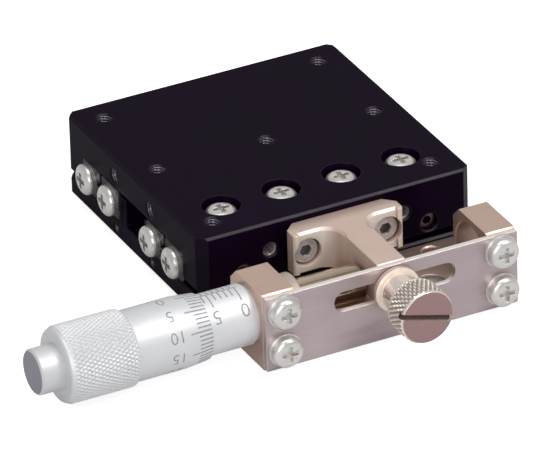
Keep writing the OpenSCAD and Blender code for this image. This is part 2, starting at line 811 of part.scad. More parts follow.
module spindle() {
  cup_d = ball_d + 2 * ball_gap;
  color([0.83, 0.83, 0.83]) along_x(0, axis_y, axis_z) difference() {
    union() {
      rotate_extrude() polygon([[0, shoulder_x], [spindle_d / 2, shoulder_x],
                                [spindle_d / 2, nose_x - nose_c], [spindle_d / 2 - nose_c, nose_x],
                                [0, nose_x]]);
      translate([0, 0, thimble_end + end_wall])
        cylinder(d = screw_d, h = shoulder_x - thimble_end - end_wall + nose_c);
      translate([0, 0, thimble_end - cap_len + 1]) cylinder(d = screw_end_d, h = end_wall + cap_len);
    }
    translate([0, 0, ball_x]) sphere(d = cup_d, $fn = 32);
    translate([0, 0, ball_x]) cylinder(d = cup_d, h = ball_d);
  }
}

// The thimble's outline is turned about the X axis, from its graduated edge to its end face.
module thimble() {
  r = thimble_d / 2;
  g = grip_d / 2;
  bore = r - thimble_wall;
  grip_x = thimble_end + grip_len;
  color([0.9, 0.9, 0.91]) along_x(0, axis_y, axis_z) rotate_extrude() polygon([
    [bore, thimble_x], [bore + bevel_edge, thimble_x], [r, thimble_x - bevel_len],
    [r, grip_x], [g - grip_side_c, grip_x], [g, grip_x - grip_side_c],
    [g, thimble_end + grip_c], [g - grip_c / 2, thimble_end],
    [screw_end_d / 2 + thread_gap, thimble_end], [screw_end_d / 2 + thread_gap, thimble_end + end_wall],
    [bore, thimble_end + end_wall]]);
}

module thimble_cap() {
  c = 0.3;
  color([0.8, 0.8, 0.82]) along_x(thimble_end, axis_y, axis_z) rotate_extrude() polygon([
    [screw_end_d / 2 + thread_gap, 0], [cap_d / 2, 0], [cap_d / 2, -cap_len + c],
    [cap_d / 2 - c, -cap_len], [0, -cap_len], [0, -cap_len + 0.9],
    [screw_end_d / 2 + thread_gap, -cap_len + 0.9]]);
}

module clamp_washer() {
  color("gainsboro") to_front(0, collar_back_y, clamp_z) difference() {
    cylinder(d = collar_d, h = collar_t);
    translate([0, 0, -over]) cylinder(d = m3_d + 2 * hole_gap, h = collar_t + 2 * over);
  }
}

module clamp_thumbscrew() {
  reach = neck_back_y - thumb_front_y;
  color([0.8, 0.74, 0.71]) to_front(0, neck_back_y, clamp_z) difference() {
    union() {
      rotate_extrude() polygon([
        [0, 0], [neck_d / 2, 0], [neck_d / 2, neck_len], [thumb_d / 2 - thumb_c, neck_len],
        [thumb_d / 2, neck_len + thumb_c], [thumb_d / 2, reach - thumb_c],
        [thumb_d / 2 - thumb_c, reach], [0, reach]]);
      translate([0, 0, neck_back_y - lug_front_y - lug_thread + 0.4])
        cylinder(d = m3_d, h = lug_front_y - neck_back_y + lug_thread);
    }
    translate([-thumb_d / 2 - over, -thumb_slot_w / 2, reach - thumb_slot_d])
      cube([thumb_d + 2 * over, thumb_slot_w, thumb_slot_d + over]);
  }
}

base_plate();
inner_rail_rear();
inner_rail_front();
inner_rail_screws();
base_end_screws();
base_spring_pin();
return_spring();
micrometer_bracket();
bracket_screws();
clamp_plate();
clamp_plate_screws();
clamp_plate_washers();
micrometer_sleeve();
stem_set_screw();
table_plate();
outer_rail_rear();
outer_rail_front();
table_top_screws();
rear_rail_screws();
table_end_screws();
preload_screws();
table_spring_pin();
lug_bracket();
lug_screws();
contact_pad();
roller_cage_rear();
roller_cage_front();
rollers_rear();
rollers_front();
spindle_ball();
spindle();
thimble();
thimble_cap();
clamp_washer();
clamp_thumbscrew();
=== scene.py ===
import json
import math

import bmesh
import bpy
import numpy as np
from bpy.props import FloatProperty, FloatVectorProperty, IntProperty, PointerProperty
from bpy.types import Operator, Panel, PropertyGroup
from mathutils import Matrix, Vector


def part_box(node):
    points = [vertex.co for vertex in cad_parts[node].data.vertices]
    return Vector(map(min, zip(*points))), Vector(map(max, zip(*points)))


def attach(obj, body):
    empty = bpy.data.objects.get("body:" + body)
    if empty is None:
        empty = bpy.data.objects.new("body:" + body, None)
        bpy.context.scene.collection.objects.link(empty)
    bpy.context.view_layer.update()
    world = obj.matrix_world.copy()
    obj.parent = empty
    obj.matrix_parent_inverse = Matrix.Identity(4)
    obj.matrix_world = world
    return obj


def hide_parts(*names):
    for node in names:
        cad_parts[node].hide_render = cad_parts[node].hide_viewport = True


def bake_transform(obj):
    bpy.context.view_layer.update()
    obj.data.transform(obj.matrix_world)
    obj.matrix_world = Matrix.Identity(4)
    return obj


bl_info = {
    "name": "Linear Stage Builder",
    "version": (1, 0, 0),
    "blender": (4, 5, 0),
    "location": "3D View > Sidebar > Stage",
    "description": "Builds the finished pieces and materials of a micrometer-driven linear stage",
    "category": "Mesh",
}

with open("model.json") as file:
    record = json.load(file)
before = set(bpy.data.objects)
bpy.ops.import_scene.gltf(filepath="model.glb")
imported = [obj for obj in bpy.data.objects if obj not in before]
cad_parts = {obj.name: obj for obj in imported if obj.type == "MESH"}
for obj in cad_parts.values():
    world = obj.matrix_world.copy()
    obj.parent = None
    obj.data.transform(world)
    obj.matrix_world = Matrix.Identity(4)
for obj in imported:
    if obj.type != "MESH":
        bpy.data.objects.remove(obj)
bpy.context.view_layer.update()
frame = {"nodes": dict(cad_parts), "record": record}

MM = 0.001
TAU = 2 * math.pi


def node_box(name):
    """Lowest and highest corners of a CAD node, in millimetres."""
    low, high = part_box(name)
    return np.array(low) / MM, np.array(high) / MM


def middle(box):
    """The middle of a box."""
    return [float(v) for v in (box[0] + box[1]) / 2]


def half_height(box):
    """Half the height of a box, which is the radius of a piece that lies level."""
    return float(box[1][2] - box[0][2]) / 2


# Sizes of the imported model, in millimetres
SLEEVE, THIMBLE, HEAD = map(node_box, ("micrometer_sleeve", "thimble", "clamp_thumbscrew"))
_, AXIS_Y, AXIS_Z = middle(SLEEVE)
SLEEVE_R = half_height(SLEEVE)
GRIP_R = half_height(THIMBLE)
THIMBLE_END, THIMBLE_EDGE = float(THIMBLE[0][0]), float(THIMBLE[1][0])
HEAD_Z, HEAD_R = middle(HEAD)[2], half_height(HEAD)
HEAD_FRONT, SCREW_TIP = float(HEAD[0][1]), float(HEAD[1][1])
WASHER_FRONT = float(node_box("clamp_washer")[0][1])
TABLE_TOP = float(node_box("table_plate")[1][2])
LUG_LOW, LUG_HIGH = node_box("lug_bracket")


# ---- settings

def count_of(label, about, default, low, high):
    """A whole number of grooves."""
    return IntProperty(name=label, description=about, default=default, min=low, max=high)


def length(label, about, size, low, high):
    """A length that is given in millimetres."""
    return FloatProperty(name=label, description=about, default=size * MM, min=low * MM,
                         max=high * MM, unit="LENGTH", precision=5)


def angle(label, about, degrees):
    """An angle that is given in degrees."""
    return FloatProperty(name=label, description=about, default=math.radians(degrees),
                         subtype="ANGLE")


def power(label, about, watts):
    """The power of a lamp."""
    return FloatProperty(name=label, description=about, default=watts, min=0.0, max=60.0,
                         unit="POWER")


def colour(label, about, value):
    """A colour as red, green and blue parts."""
    return FloatVectorProperty(name=label, description=about, default=value, size=3,
                               min=0.0, max=1.0, subtype="COLOR")


class MicrometerSettings(PropertyGroup):
    """Sizes of the micrometer's grip and scales."""

    knurl_count: count_of("Grip Knurl Count", "Grooves of each hand around the grip", 56, 20, 80)
    knurl_lead: length("Grip Knurl Pitch", "Distance between the grooves along the axis",
                       1.28, 0.6, 3.0)
    knurl_depth: length("Grip Knurl Depth", "Depth of the grooves of the grip", 0.23, 0.05, 0.5)
    line_width: length("Line Width", "Width of the lines of both scales", 0.23, 0.05, 0.3)
    digit_height: length("Digit Height", "Height of the digits on the sleeve", 2.3, 1.0, 3.0)
    fiducial_angle: angle("Zero Angle",
                          "Angle of the sleeve's long line, from the top towards the front", -5.2)


class ClampSettings(PropertyGroup):
    """Sizes of the clamp screw's knurled head."""

    knurl_count: count_of("Head Knurl Count", "Grooves of each hand around the head", 34, 12, 48)
    knurl_depth: length("Head Knurl Depth", "Depth of the grooves of the head", 0.42, 0.05, 0.6)
    slot_width: length("Slot Width", "Width of the slot in the end of the head", 1.0, 0.5, 2.0)
    slot_turn: angle("Slot Turn", "Turn of the slot from level, falling to the right", -15.4)
    slot_depth: length("Slot Depth", "Depth of the slot in the end of the head", 1.2, 0.3, 2.0)


class FinishSettings(PropertyGroup):
    """Colours of the finishes."""

    anodised: colour("Black Anodising", "Colour of the table and the base",
                     (0.0048, 0.0009, 0.0076))
    nickel: colour("Satin Nickel", "Colour of the micrometer bracket", (0.68, 0.495, 0.41))
    plate: colour("Plate Nickel", "Colour of the clamp plate", (0.545, 0.452, 0.462))
    turned: colour("Turned Faces", "Colour of the end face of the clamp screw", (0.39, 0.25, 0.245))
    lug: colour("Lug Nickel", "Colour of the lug bracket and the clamp washer",
                (0.635, 0.48, 0.41))
    chrome: colour("Satin Chrome", "Colour of the sleeve and the thimble", (0.75, 0.755, 0.77))
    steel: colour("Bright Steel", "Colour of the screws", (0.78, 0.755, 0.73))
    marks: colour("Scale Marks", "Colour of the lines and digits", (0.25, 0.25, 0.26))
    floor: colour("Floor", "Colour of the floor", (0.66, 0.66, 0.67))


class StudioSettings(PropertyGroup):
    """Powers of the lamps, in watts, and of the room's own light."""

    room: FloatProperty(name="Room", description="Strength of the room's even light",
                        default=0.49, min=0.0, max=2.0)
    key: power("Key Lamp", "Power of the lamp in front on the right", 3.4)
    front: power("Front Lamp", "Power of the wide lamp in front on the left", 2.2)
    top: power("Top Lamp", "Power of the lamp above", 1.6)
    back: power("Back Lamp", "Power of the wide lamp behind", 0.1)


# ---- mesh tools

def grid_faces(rows, columns, close_rows=False, close_columns=False):
    """Corner numbers of the quads of a grid whose vertices run row by row."""
    i = np.arange(rows if close_rows else rows - 1)
    j = np.arange(columns if close_columns else columns - 1)
    a, b = np.meshgrid(i, j, indexing="ij")
    a2, b2 = (a + 1) % rows, (b + 1) % columns
    return np.stack([a * columns + b, a * columns + b2, a2 * columns + b2, a2 * columns + b],
                    axis=-1).reshape(-1, 4)


def new_mesh(name, points, faces):
    """A mesh from points in millimetres."""
    mesh = bpy.data.meshes.new(name)
    mesh.from_pydata((np.asarray(points, float).reshape(-1, 3) * MM).tolist(), [],
                     [list(map(int, face)) for face in faces])
    return mesh


def edit_mesh(mesh, *steps):
    """Runs steps on a mesh in edit form."""
    work = bmesh.new()
    work.from_mesh(mesh)
    for step in steps:
        step(work)
    work.to_mesh(mesh)
    work.free()


def weld(distance):
    """A step that joins points closer than a distance in millimetres."""
    return lambda work: bmesh.ops.remove_doubles(work, verts=work.verts, dist=distance * MM)


def turn_outwards(work):
    """Turns every face to look out of the solid."""
    bmesh.ops.recalc_face_normals(work, faces=work.faces)


def make_whole(work):
    """Joins the triangles of flat faces."""
    bmesh.ops.dissolve_limit(work, angle_limit=math.radians(0.5), verts=work.verts,
                             edges=work.edges)


def keep_cavity(mesh, depth):
    """Keeps how deep each point lies in a groove or hollow, from 0 to 1, as an attribute."""
    layer = mesh.attributes.new("cavity", "FLOAT", "POINT")
    layer.data.foreach_set("value", np.asarray(depth, np.float32).ravel())


def make_piece(name, points, faces, body, finish, sharp=32.0, cavity=None):
    """A mesh object from points in millimetres and quads."""
    mesh = new_mesh(name, points, faces)
    if cavity is not None:
        keep_cavity(mesh, cavity)
    mesh.validate(clean_customdata=False)
    return finish_piece(name, mesh, body, finish, sharp)


def finish_piece(name, mesh, body, finish, sharp=32.0):
    """Welds the mesh, turns its faces outwards, shades it and hangs it on its body, if any."""
    edit_mesh(mesh, weld(0.0008), turn_outwards)
    mesh.shade_smooth()
    mesh.set_sharp_from_angle(angle=math.radians(sharp))
    mesh.materials.append(finish_named(finish))
    piece = bpy.data.objects.new(name, mesh)
    bpy.context.scene.collection.objects.link(piece)
    if body:
        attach(piece, body)
    return piece


def evaluated_mesh(holder):
    """The mesh of an object after its modifiers; the object is then removed."""
    bpy.context.view_layer.update()
    graph = bpy.context.evaluated_depsgraph_get()
    mesh = bpy.data.meshes.new_from_object(holder.evaluated_get(graph))
    bpy.data.objects.remove(holder)
    return mesh


def linked(name, data):
    """An object in the scene that carries a mesh, a curve, a lamp or the camera."""
    holder = bpy.data.objects.new(name, data)
    bpy.context.scene.collection.objects.link(holder)
    return holder


def rounded(mesh, width, name):
    """The mesh with its sharp edges rounded over a width in millimetres."""
    holder = linked(name, mesh)
    edge = holder.modifiers.new("edges", "BEVEL")
    edge.width = width * MM
    edge.segments = 3
    edge.limit_method = "ANGLE"
    edge.angle_limit = math.radians(35)
    edge.use_clamp_overlap = True
    return evaluated_mesh(holder)


def mark_hollow(mesh, depth_at):
    """Sets the cavity of a mesh from a function of x, y and z in millimetres."""
    points = np.empty(len(mesh.vertices) * 3, np.float32)
    mesh.vertices.foreach_get("co", points)
    keep_cavity(mesh, depth_at(*(points.reshape(-1, 3).T / MM)))


def rounded_copy(node, name, width, body, finish, hollow=None):
    """A piece that stands for a CAD node, with its points joined and its edges rounded."""
    mesh = frame["nodes"][node].data.copy()
    mesh.materials.clear()
    edit_mesh(mesh, weld(0.002), make_whole)
    mesh = rounded(mesh, width, name)
    if hollow:
        mark_hollow(mesh, hollow)
    piece = finish_piece(name, mesh, body, finish, 20.0)
    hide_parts(node)


def revolved(profile, place, axis):
    """A solid turned about an axis and closed on it.

    The profile is depth s by radius r, and each point is place + s axis + r (side cos k +
    other sin k), with side and other square to the axis.
    """
    columns, on_axis = 48, 1e-4
    axis = np.asarray(axis, float)
    side = np.array([0.0, 0.0, 1.0])
    other = np.cross(axis, side)
    profile = np.array([[profile[0][0], on_axis], *profile, [profile[-1][0], on_axis]])
    turn = np.linspace(0, TAU, columns, endpoint=False)[None, :, None]
    s, r = profile[:, :1, None], profile[:, 1:, None]
    ring = s * axis + r * np.cos(turn) * side + r * np.sin(turn) * other
    points = (ring + np.asarray(place, float)).reshape(-1, 3)
    return points, grid_faces(len(profile), columns, close_columns=True)


def tube(path, radius, sides):
    """A round wire along a path, closed at both ends.

    Each ring is p + r (u cos k + v sin k), with u and v square to the path's direction.
    The rings are turned by the running sum of the angles between neighbouring u, so that
    the wire isn't twisted.
    """
    along = np.gradient(path, axis=0)
    along /= np.linalg.norm(along, axis=1, keepdims=True)
    u = np.cross(along, np.eye(3)[np.argmin(np.abs(along), axis=1)])
    u /= np.linalg.norm(u, axis=1, keepdims=True)
    v = np.cross(along, u)
    before = np.roll(u, 1, axis=0)
    step = np.arctan2((before * v).sum(axis=1), (before * u).sum(axis=1))
    step[0] = 0.0
    turn = (np.cumsum(step)[:, None] + np.linspace(0, TAU, sides, endpoint=False))[..., None]
    ring = radius * (np.cos(turn) * u[:, None] + np.sin(turn) * v[:, None])
    ring = np.concatenate([ring[:1] * 1e-4, ring, ring[-1:] * 1e-4])
    place = np.concatenate([path[:1], path, path[-1:]])
    return place[:, None] + ring, grid_faces(len(place), sides, close_columns=True)


def around_axis(x, radius, turn):
    """Points on the micrometer's axis: angle 0 is the top and grows towards the front."""
    return np.stack([x + 0 * turn, AXIS_Y - radius * np.sin(turn),
                     AXIS_Z + radius * np.cos(turn)], axis=-1)


def join_parts(parts):
    """Joins (points, faces) pairs; quads and triangles are kept as lists."""
    points, faces, start = [], [], 0
    for some_points, some_faces in parts:
        points.append(some_points)
        faces.extend((np.asarray(some_faces) + start).tolist())
        start += len(some_points)
    return np.concatenate(points), faces


def over_columns(values, columns):
    """The values, one for each row, repeated over the columns of a grid."""
    return np.repeat(values[:, None], columns, axis=1)


def triangle_wave(s):
    """1 at each whole number and 0 halfway between two of them."""
    return np.abs(2 * (s - np.floor(s)) - 1)


def diamond_knurl(turns, along, flat=0.16):
    """Height from 0 to 1 of crossed V grooves.

    Each hand of grooves is a triangle wave of turns plus or minus along; the lower of
    the two gives pyramids, and the tips are cut flat.
    """
    height = np.minimum(triangle_wave(turns + along), triangle_wave(turns - along))
    return np.minimum(height, 1 - flat) / (1 - flat)


def smooth_step(x, start, end):
    """t t (3 - 2 t), with t the part of the way from start to end."""
    t = np.clip((x - start) / (end - start), 0, 1)
    return t * t * (3 - 2 * t)


# ---- material tools

class Shading:
    """The nodes of one material or world."""

    def __init__(self, owner):
        owner.use_nodes = True
        self.tree = owner.node_tree
        self.tree.nodes.clear()

    def link(self, output, socket):
        """Joins an output to an input."""
        self.tree.links.new(output, socket)

    def add(self, kind, inputs=None, **settings):
        """A node; its inputs are values or sockets, by name or number."""
        made = self.tree.nodes.new("ShaderNode" + kind)
        for key, value in settings.items():
            setattr(made, key, value)
        for key, value in (inputs or {}).items():
            if isinstance(value, bpy.types.NodeSocket):
                self.link(value, made.inputs[key])
            else:
                made.inputs[key].default_value = value
        return made

    def calc(self, operation, first, second=0.0):
        """An operation on two numbers, or on one."""
        return self.add("Math", {0: first, 1: second}, operation=operation).outputs[0]

    def vector(self, operation, first, second=(0, 0, 0), output="Vector"):
        """An operation on two vectors, or on one."""
        made = self.add("VectorMath", {0: first, 1: second}, operation=operation)
        return made.outputs[output]

    def parts(self, vector):
        """The three parts of a vector."""
        return self.add("SeparateXYZ", {"Vector": vector}).outputs

    def normal(self):
        """The way a face looks, on the piece's own axes."""
        return self.add("TexCoord").outputs["Normal"]

    def coords(self, scale=(1, 1, 1)):
        """The place on the piece, in metres, stretched along its axes."""
        place = self.add("TexCoord").outputs["Object"]
        return self.add("Mapping", {"Vector": place, "Scale": scale}).outputs[0]

    def noise(self, vector, scale, detail=3.0, rough=0.55):
        """Soft noise about 0.5, with scale waves to each unit of the vector."""
        return self.add("TexNoise", {"Vector": vector, "Scale": scale, "Detail": detail,
                                     "Roughness": rough}).outputs["Fac"]

    def remap(self, value, low, high, to_low=0.0, to_high=1.0):
        """The value carried from one span to another and held inside it."""
        return self.add("MapRange", {"Value": value, "From Min": low, "From Max": high,
                                     "To Min": to_low, "To Max": to_high}).outputs[0]

    def blend(self, factor, first, second):
        """The first colour where the factor is 0 and the second where it is 1."""
        mixed = self.add("Mix", {"Factor": factor}, data_type="RGBA")
        for socket, value in ((mixed.inputs[6], first), (mixed.inputs[7], second)):
            if isinstance(value, bpy.types.NodeSocket):
                self.link(value, socket)
            else:
                socket.default_value = (*value, 1)
        return mixed.outputs[2]

    def bump(self, height, strength, distance, normal=None):
        """A bump over a distance in millimetres."""
        inputs = {"Height": height, "Strength": strength, "Distance": distance * MM}
        if normal is not None:
            inputs["Normal"] = normal
        return self.add("Bump", inputs).outputs[0]

    def edge_wear(self, radius):
        """How near an edge a place is, from 0 to 1, and the rounded normal that shows it.

        The first is 1 less the dot product of the rounded normal and the true one.
        """
        soft = self.add("Bevel", {"Radius": radius * MM}, samples=6).outputs[0]
        true = self.add("NewGeometry").outputs["True Normal"]
        same = self.vector("DOT_PRODUCT", soft, true, "Value")
        return self.remap(self.calc("SUBTRACT", 1.0, same), 0.02, 0.25), soft

    def darkened(self, tone, keep):
        """The colour times a part from 0 to 1."""
        grey = self.add("CombineColor", {0: keep, 1: keep, 2: keep}).outputs[0]
        return self.add("Mix", {"Factor": 1.0, 6: tone, 7: grey}, data_type="RGBA",
                        blend_type="MULTIPLY").outputs[2]

    def shade_cavity(self, tone, deepest):
        """The colour with painted shade down grooves and hollows, darkened to a part of itself."""
        depth = self.add("Attribute", attribute_name="cavity").outputs["Fac"]
        return self.darkened(tone, self.remap(depth, 0.1, 1.0, 1.0, deepest))

    def face_towards(self, axis, low=0.9):
        """1 on the faces of a piece that look along an axis of the piece, to either side."""
        return self.remap(self.calc("ABSOLUTE", self.parts(self.normal())[axis]), low, 0.98)

    def slanted(self):
        """1 on faces that look between the axes of a piece, such as chamfers, and 0 on others."""
        parts = self.parts(self.vector("ABSOLUTE", self.normal()))
        largest = self.calc("MAXIMUM", self.calc("MAXIMUM", parts[0], parts[1]), parts[2])
        return self.remap(self.calc("SUBTRACT", 1.0, largest), 0.1, 0.28)


def new_finish(name, base, metallic, roughness, specular=0.5):
    """A material with a Principled shader; returns it with its nodes and the shader's inputs."""
    material = bpy.data.materials.new(name)
    nodes = Shading(material)
    shader = nodes.add("BsdfPrincipled", {
        "Base Color": (*base, 1), "Metallic": metallic, "Roughness": roughness,
        "Specular IOR Level": specular})
    nodes.add("OutputMaterial", {"Surface": shader.outputs[0]})
    return material, nodes, shader.inputs


def scaled(tone, factor):
    """A colour made lighter or darker, at most white."""
    return tuple(min(1.0, c * factor) for c in tone)


# Painted highlight colours of the anodising: on chamfers, and on edges with rubbed spots
CHAMFER_HIGHLIGHT_TONE, EDGE_HIGHLIGHT_AND_RUB_TONE = (0.040, 0.034, 0.044), (0.085, 0.074, 0.092)
FRONT_SLOPE = (0.0, -0.707, 0.707)


def anodised_finish(name, base):
    """Fine matt anodising with faint cloudiness, edges painted paler as a highlight and more so in
    rubbed spots, and a painted highlight on chamfers that slope to the front.
    """
    material, nodes, sockets = new_finish(name, base, 0.0, 0.42, 0.035)
    coords = nodes.coords()
    near_edge, soft = nodes.edge_wear(0.3)
    cloud = nodes.noise(coords, 90.0, 4.0)
    grain = nodes.noise(coords, 9000.0, 2.0)
    spots = nodes.remap(nodes.noise(coords, 700.0, 3.0), 0.3, 0.75, 0.35, 1.0)
    tone = nodes.blend(nodes.remap(cloud, 0.35, 0.7), scaled(base, 0.8), scaled(base, 1.35))
    # chamfers are glossier, and most of all where they slope to the front; there they also take a
    # painted highlight colour
    slope = nodes.vector("DOT_PRODUCT", nodes.normal(), FRONT_SLOPE, "Value")
    gloss = nodes.calc("MULTIPLY", nodes.slanted(), nodes.remap(slope, 0.75, 0.95, 0.22, 1.0))
    nodes.link(nodes.remap(gloss, 0.0, 1.0, 0.035, 0.24), sockets["Specular IOR Level"])
    tone = nodes.blend(nodes.calc("MULTIPLY", gloss, 0.35), tone, CHAMFER_HIGHLIGHT_TONE)
    # paler edges: a painted highlight, stronger in rubbed spots
    edge_highlight_and_rub = nodes.calc("MULTIPLY", nodes.calc("MULTIPLY", near_edge, spots), 0.6)
    nodes.link(nodes.blend(edge_highlight_and_rub, tone, EDGE_HIGHLIGHT_AND_RUB_TONE), sockets["Base Color"])
    rough = nodes.calc("ADD", nodes.remap(cloud, 0.3, 0.7, 0.38, 0.46),
                       nodes.remap(grain, 0.3, 0.7, -0.05, 0.05))
    nodes.link(rough, sockets["Roughness"])
    nodes.link(nodes.bump(grain, 0.25, 0.02, soft), sockets["Normal"])
    return material


def brushed_finish(name, base, roughness, stretch, grain_strength=0.12, edge=1.15, edge_r=0.16,
                   metallic=1.0, face_axis=None, face_colour=None, face_low=0.9, deepest=0.3,
                   spread=(0.93, 1.05), edge_colour=None, sunk=None):
    """Metal with fine lines along one axis, uneven gloss and brighter edges, which are a painted
    highlight.

    Faces along face_axis take face_colour, grooves take painted shade down to deepest, and what lies
    behind y = sunk, such as a screw's socket, takes painted shade too.
    """
    material, nodes, sockets = new_finish(name, base, metallic, roughness)
    coords = nodes.coords()
    lines = nodes.noise(nodes.coords(stretch), 1.0, 4.0, 0.6)
    cloud = nodes.noise(coords, 120.0, 3.0)
    grain = nodes.noise(coords, 7000.0, 2.0)
    near_edge, soft = nodes.edge_wear(edge_r)
    tone = nodes.blend(nodes.remap(lines, 0.3, 0.7), scaled(base, spread[0]),
                       scaled(base, spread[1]))
    tone = nodes.blend(nodes.remap(cloud, 0.35, 0.65, 0.0, 0.35), tone, scaled(base, 0.86))
    # brighter edges: painted highlight
    tone = nodes.blend(near_edge, tone, edge_colour or scaled(base, edge))
    if face_axis:
        tone = nodes.blend(nodes.face_towards(face_axis, face_low), tone, face_colour)
    # painted shade behind y = sunk
    if sunk is not None:
        y = nodes.parts(coords)["Y"]
        tone = nodes.darkened(
            tone, nodes.remap(y, (sunk + 0.1) * MM, (sunk + 0.7) * MM, 1.0, 0.22))
    nodes.link(nodes.shade_cavity(tone, deepest), sockets["Base Color"])
    rough = nodes.calc("ADD", nodes.remap(lines, 0.3, 0.7, roughness - 0.05, roughness + 0.06),
                       nodes.remap(grain, 0.3, 0.7, -0.03, 0.03))
    nodes.link(rough, sockets["Roughness"])
    height = nodes.calc("ADD", lines, nodes.calc("MULTIPLY", grain, 0.5))
    nodes.link(nodes.bump(height, grain_strength, 0.01, soft), sockets["Normal"])
    return material


# x between which the sleeve's colour goes over to the stem's, beyond the post
STEM_FROM, STEM_TO = -20.1, -20.0


def satin_finish(name, base, face_colour=None, stem_colour=None):
    """Satin chrome: an even, very fine matt grain with soft cloudiness."""
    roughness = 0.48
    material, nodes, sockets = new_finish(name, base, 0.5, roughness, 0.3)
    coords = nodes.coords()
    cloud = nodes.noise(coords, 160.0, 3.0)
    grain = nodes.noise(coords, 12000.0, 2.0)
    rings = nodes.noise(nodes.coords((9000, 60, 60)), 1.0, 3.0)
    tone = nodes.blend(nodes.remap(cloud, 0.35, 0.65), scaled(base, 0.97), scaled(base, 1.02))
    # faces along X take face_colour: painted shade on the cap's end face
    if face_colour:
        tone = nodes.blend(nodes.face_towards("X"), tone, face_colour)
    if stem_colour:
        x = nodes.parts(coords)["X"]
        tone = nodes.blend(nodes.remap(x, STEM_FROM * MM, STEM_TO * MM), tone, stem_colour)
    nodes.link(nodes.shade_cavity(tone, 0.88), sockets["Base Color"])
    rough = nodes.calc("ADD", nodes.remap(rings, 0.3, 0.7, roughness - 0.03, roughness + 0.03),
                       nodes.remap(grain, 0.3, 0.7, -0.03, 0.03))
    nodes.link(rough, sockets["Roughness"])
    height = nodes.calc("ADD", nodes.calc("MULTIPLY", rings, 0.6), grain)
    nodes.link(nodes.bump(height, 0.1, 0.01), sockets["Normal"])
    return material


def paint_finish(name, base):
    """Dull paint in engraved lines, with small uneven spots."""
    material, nodes, sockets = new_finish(name, base, 0.0, 0.6, 0.3)
    spots = nodes.noise(nodes.coords(), 3500.0, 3.0)
    tone = nodes.blend(nodes.remap(spots, 0.35, 0.7), scaled(base, 0.8), scaled(base, 1.6))
    nodes.link(tone, sockets["Base Color"])
    nodes.link(nodes.bump(spots, 0.1, 0.005), sockets["Normal"])
    return material


# Noise waves per metre along X, Y and Z: few of them along the brushed lines
ALONG_X, ALONG_Z, EVEN = (60, 5000, 5000), (5000, 5000, 60), (500, 500, 500)


def finish_table(tones):
    """Maker, material name, colour and settings of each finish."""
    chrome = tones.chrome
    brushed = {
        # edge_colour is a painted highlight on the rounded edges
        "nickel_plate": ("satin_nickel", tones.nickel, dict(
            roughness=0.36, stretch=ALONG_X, metallic=0.8, edge_colour=(0.92, 0.82, 0.75))),
        # pale front faces: painted light on faces that lie in shade; deepest paints shade in the
        # counterbores
        "nickel_lug": ("satin_nickel_lug", tones.lug, dict(
            roughness=0.38, stretch=ALONG_Z, metallic=0.35, face_axis="Y",
            face_colour=(0.98, 0.88, 0.79), face_low=0.4, deepest=0.1)),
        # edge_colour is a painted highlight on the rounded edges, and the pale top faces are painted
        # light
        "nickel_front": ("satin_nickel_plate", tones.plate, dict(
            roughness=0.36, stretch=ALONG_X, metallic=0.75, edge_colour=(0.86, 0.79, 0.77),
            face_axis="Z", face_colour=(0.95, 0.87, 0.82), face_low=0.6)),
        # the light colour, well above the lug's nickel, is partly a painted glint; grooves and the
        # slot take painted shade
        "nickel_knurl": ("turned_nickel", (1.0, 0.86, 0.77), dict(
            roughness=0.22, stretch=ALONG_Z, metallic=0.8, face_axis="Y",
            face_colour=tuple(tones.turned), deepest=0.42)),
        "thread_alloy": ("cut_thread", (0.17, 0.15, 0.18), dict(
            roughness=0.25, stretch=ALONG_X, metallic=0.8)),
        # a lighter copy of the cut thread: painted reflection in the table's front holes
        "thread_painted_glint": ("bright_cut_thread", (0.44, 0.37, 0.39), dict(
            roughness=0.25, stretch=ALONG_X, metallic=0.7)),
        # the rails' colour is kept dark and their end faces near black: painted shade
        "rail_steel": ("ground_rail_steel", (0.40, 0.37, 0.35), dict(
            roughness=0.3, stretch=ALONG_X, edge=1.0, face_axis="X",
            face_colour=(0.012, 0.011, 0.011))),
        "screw_steel": ("bright_screw_steel", tones.steel, dict(
            roughness=0.3, stretch=EVEN, grain_strength=0.05, edge=1.1, edge_r=0.1,
            metallic=0.85)),
        # what lies behind the heads' faces takes painted shade
        "lug_screw_steel": ("lug_screw_steel", (0.86, 0.82, 0.79), dict(
            roughness=0.3, stretch=EVEN, grain_strength=0.05, edge_r=0.1, metallic=0.6,
            sunk=float(node_box("lug_screws")[0][1]))),
        "dark_steel": ("oiled_dark_steel", (0.12, 0.115, 0.12), dict(
            roughness=0.35, stretch=(2500, 2500, 2500))),
        "spring_steel": ("drawn_spring_wire", (0.52, 0.51, 0.50), dict(
            roughness=0.28, stretch=ALONG_X)),
        # the wide spread paints light and dark reflection bands along the spindle; its edges take a
        # painted highlight
        "spindle_steel": ("ground_spindle_steel", (0.44, 0.35, 0.27), dict(
            roughness=0.12, stretch=(40, 1600, 1600), grain_strength=0.1, edge=1.4,
            spread=(0.25, 2.0))),
        "cage_brass": ("stamped_cage_brass", (0.72, 0.53, 0.25), dict(
            roughness=0.3, stretch=ALONG_X)),
    }
    table = {name: (brushed_finish, *row) for name, row in brushed.items()}
    table.update({
        "black_anodised": (anodised_finish, "black_anodising", tones.anodised, {}),
        "scale_paint": (paint_finish, "scale_paint", tones.marks, {}),
        "satin_chrome": (satin_finish, "satin_chrome", scaled(chrome, 0.955), {}),
        "chrome_sleeve": (satin_finish, "satin_chrome_sleeve", chrome,
                          dict(stem_colour=(0.50, 0.42, 0.37))),
        # the darker end face is painted shade
        "chrome_cap": (satin_finish, "satin_chrome_cap", scaled(chrome, 0.9),
                       dict(face_colour=(0.30, 0.288, 0.325))),
    })
    return table


FINISHES = {}


def finish_named(name):
    """The material for a finish, made on first use."""
    if name not in FINISHES:
        maker, label, base, settings = finish_table(bpy.context.scene.stage_finishes)[name]
        FINISHES[name] = maker(label, tuple(base), **settings)
    return FINISHES[name]


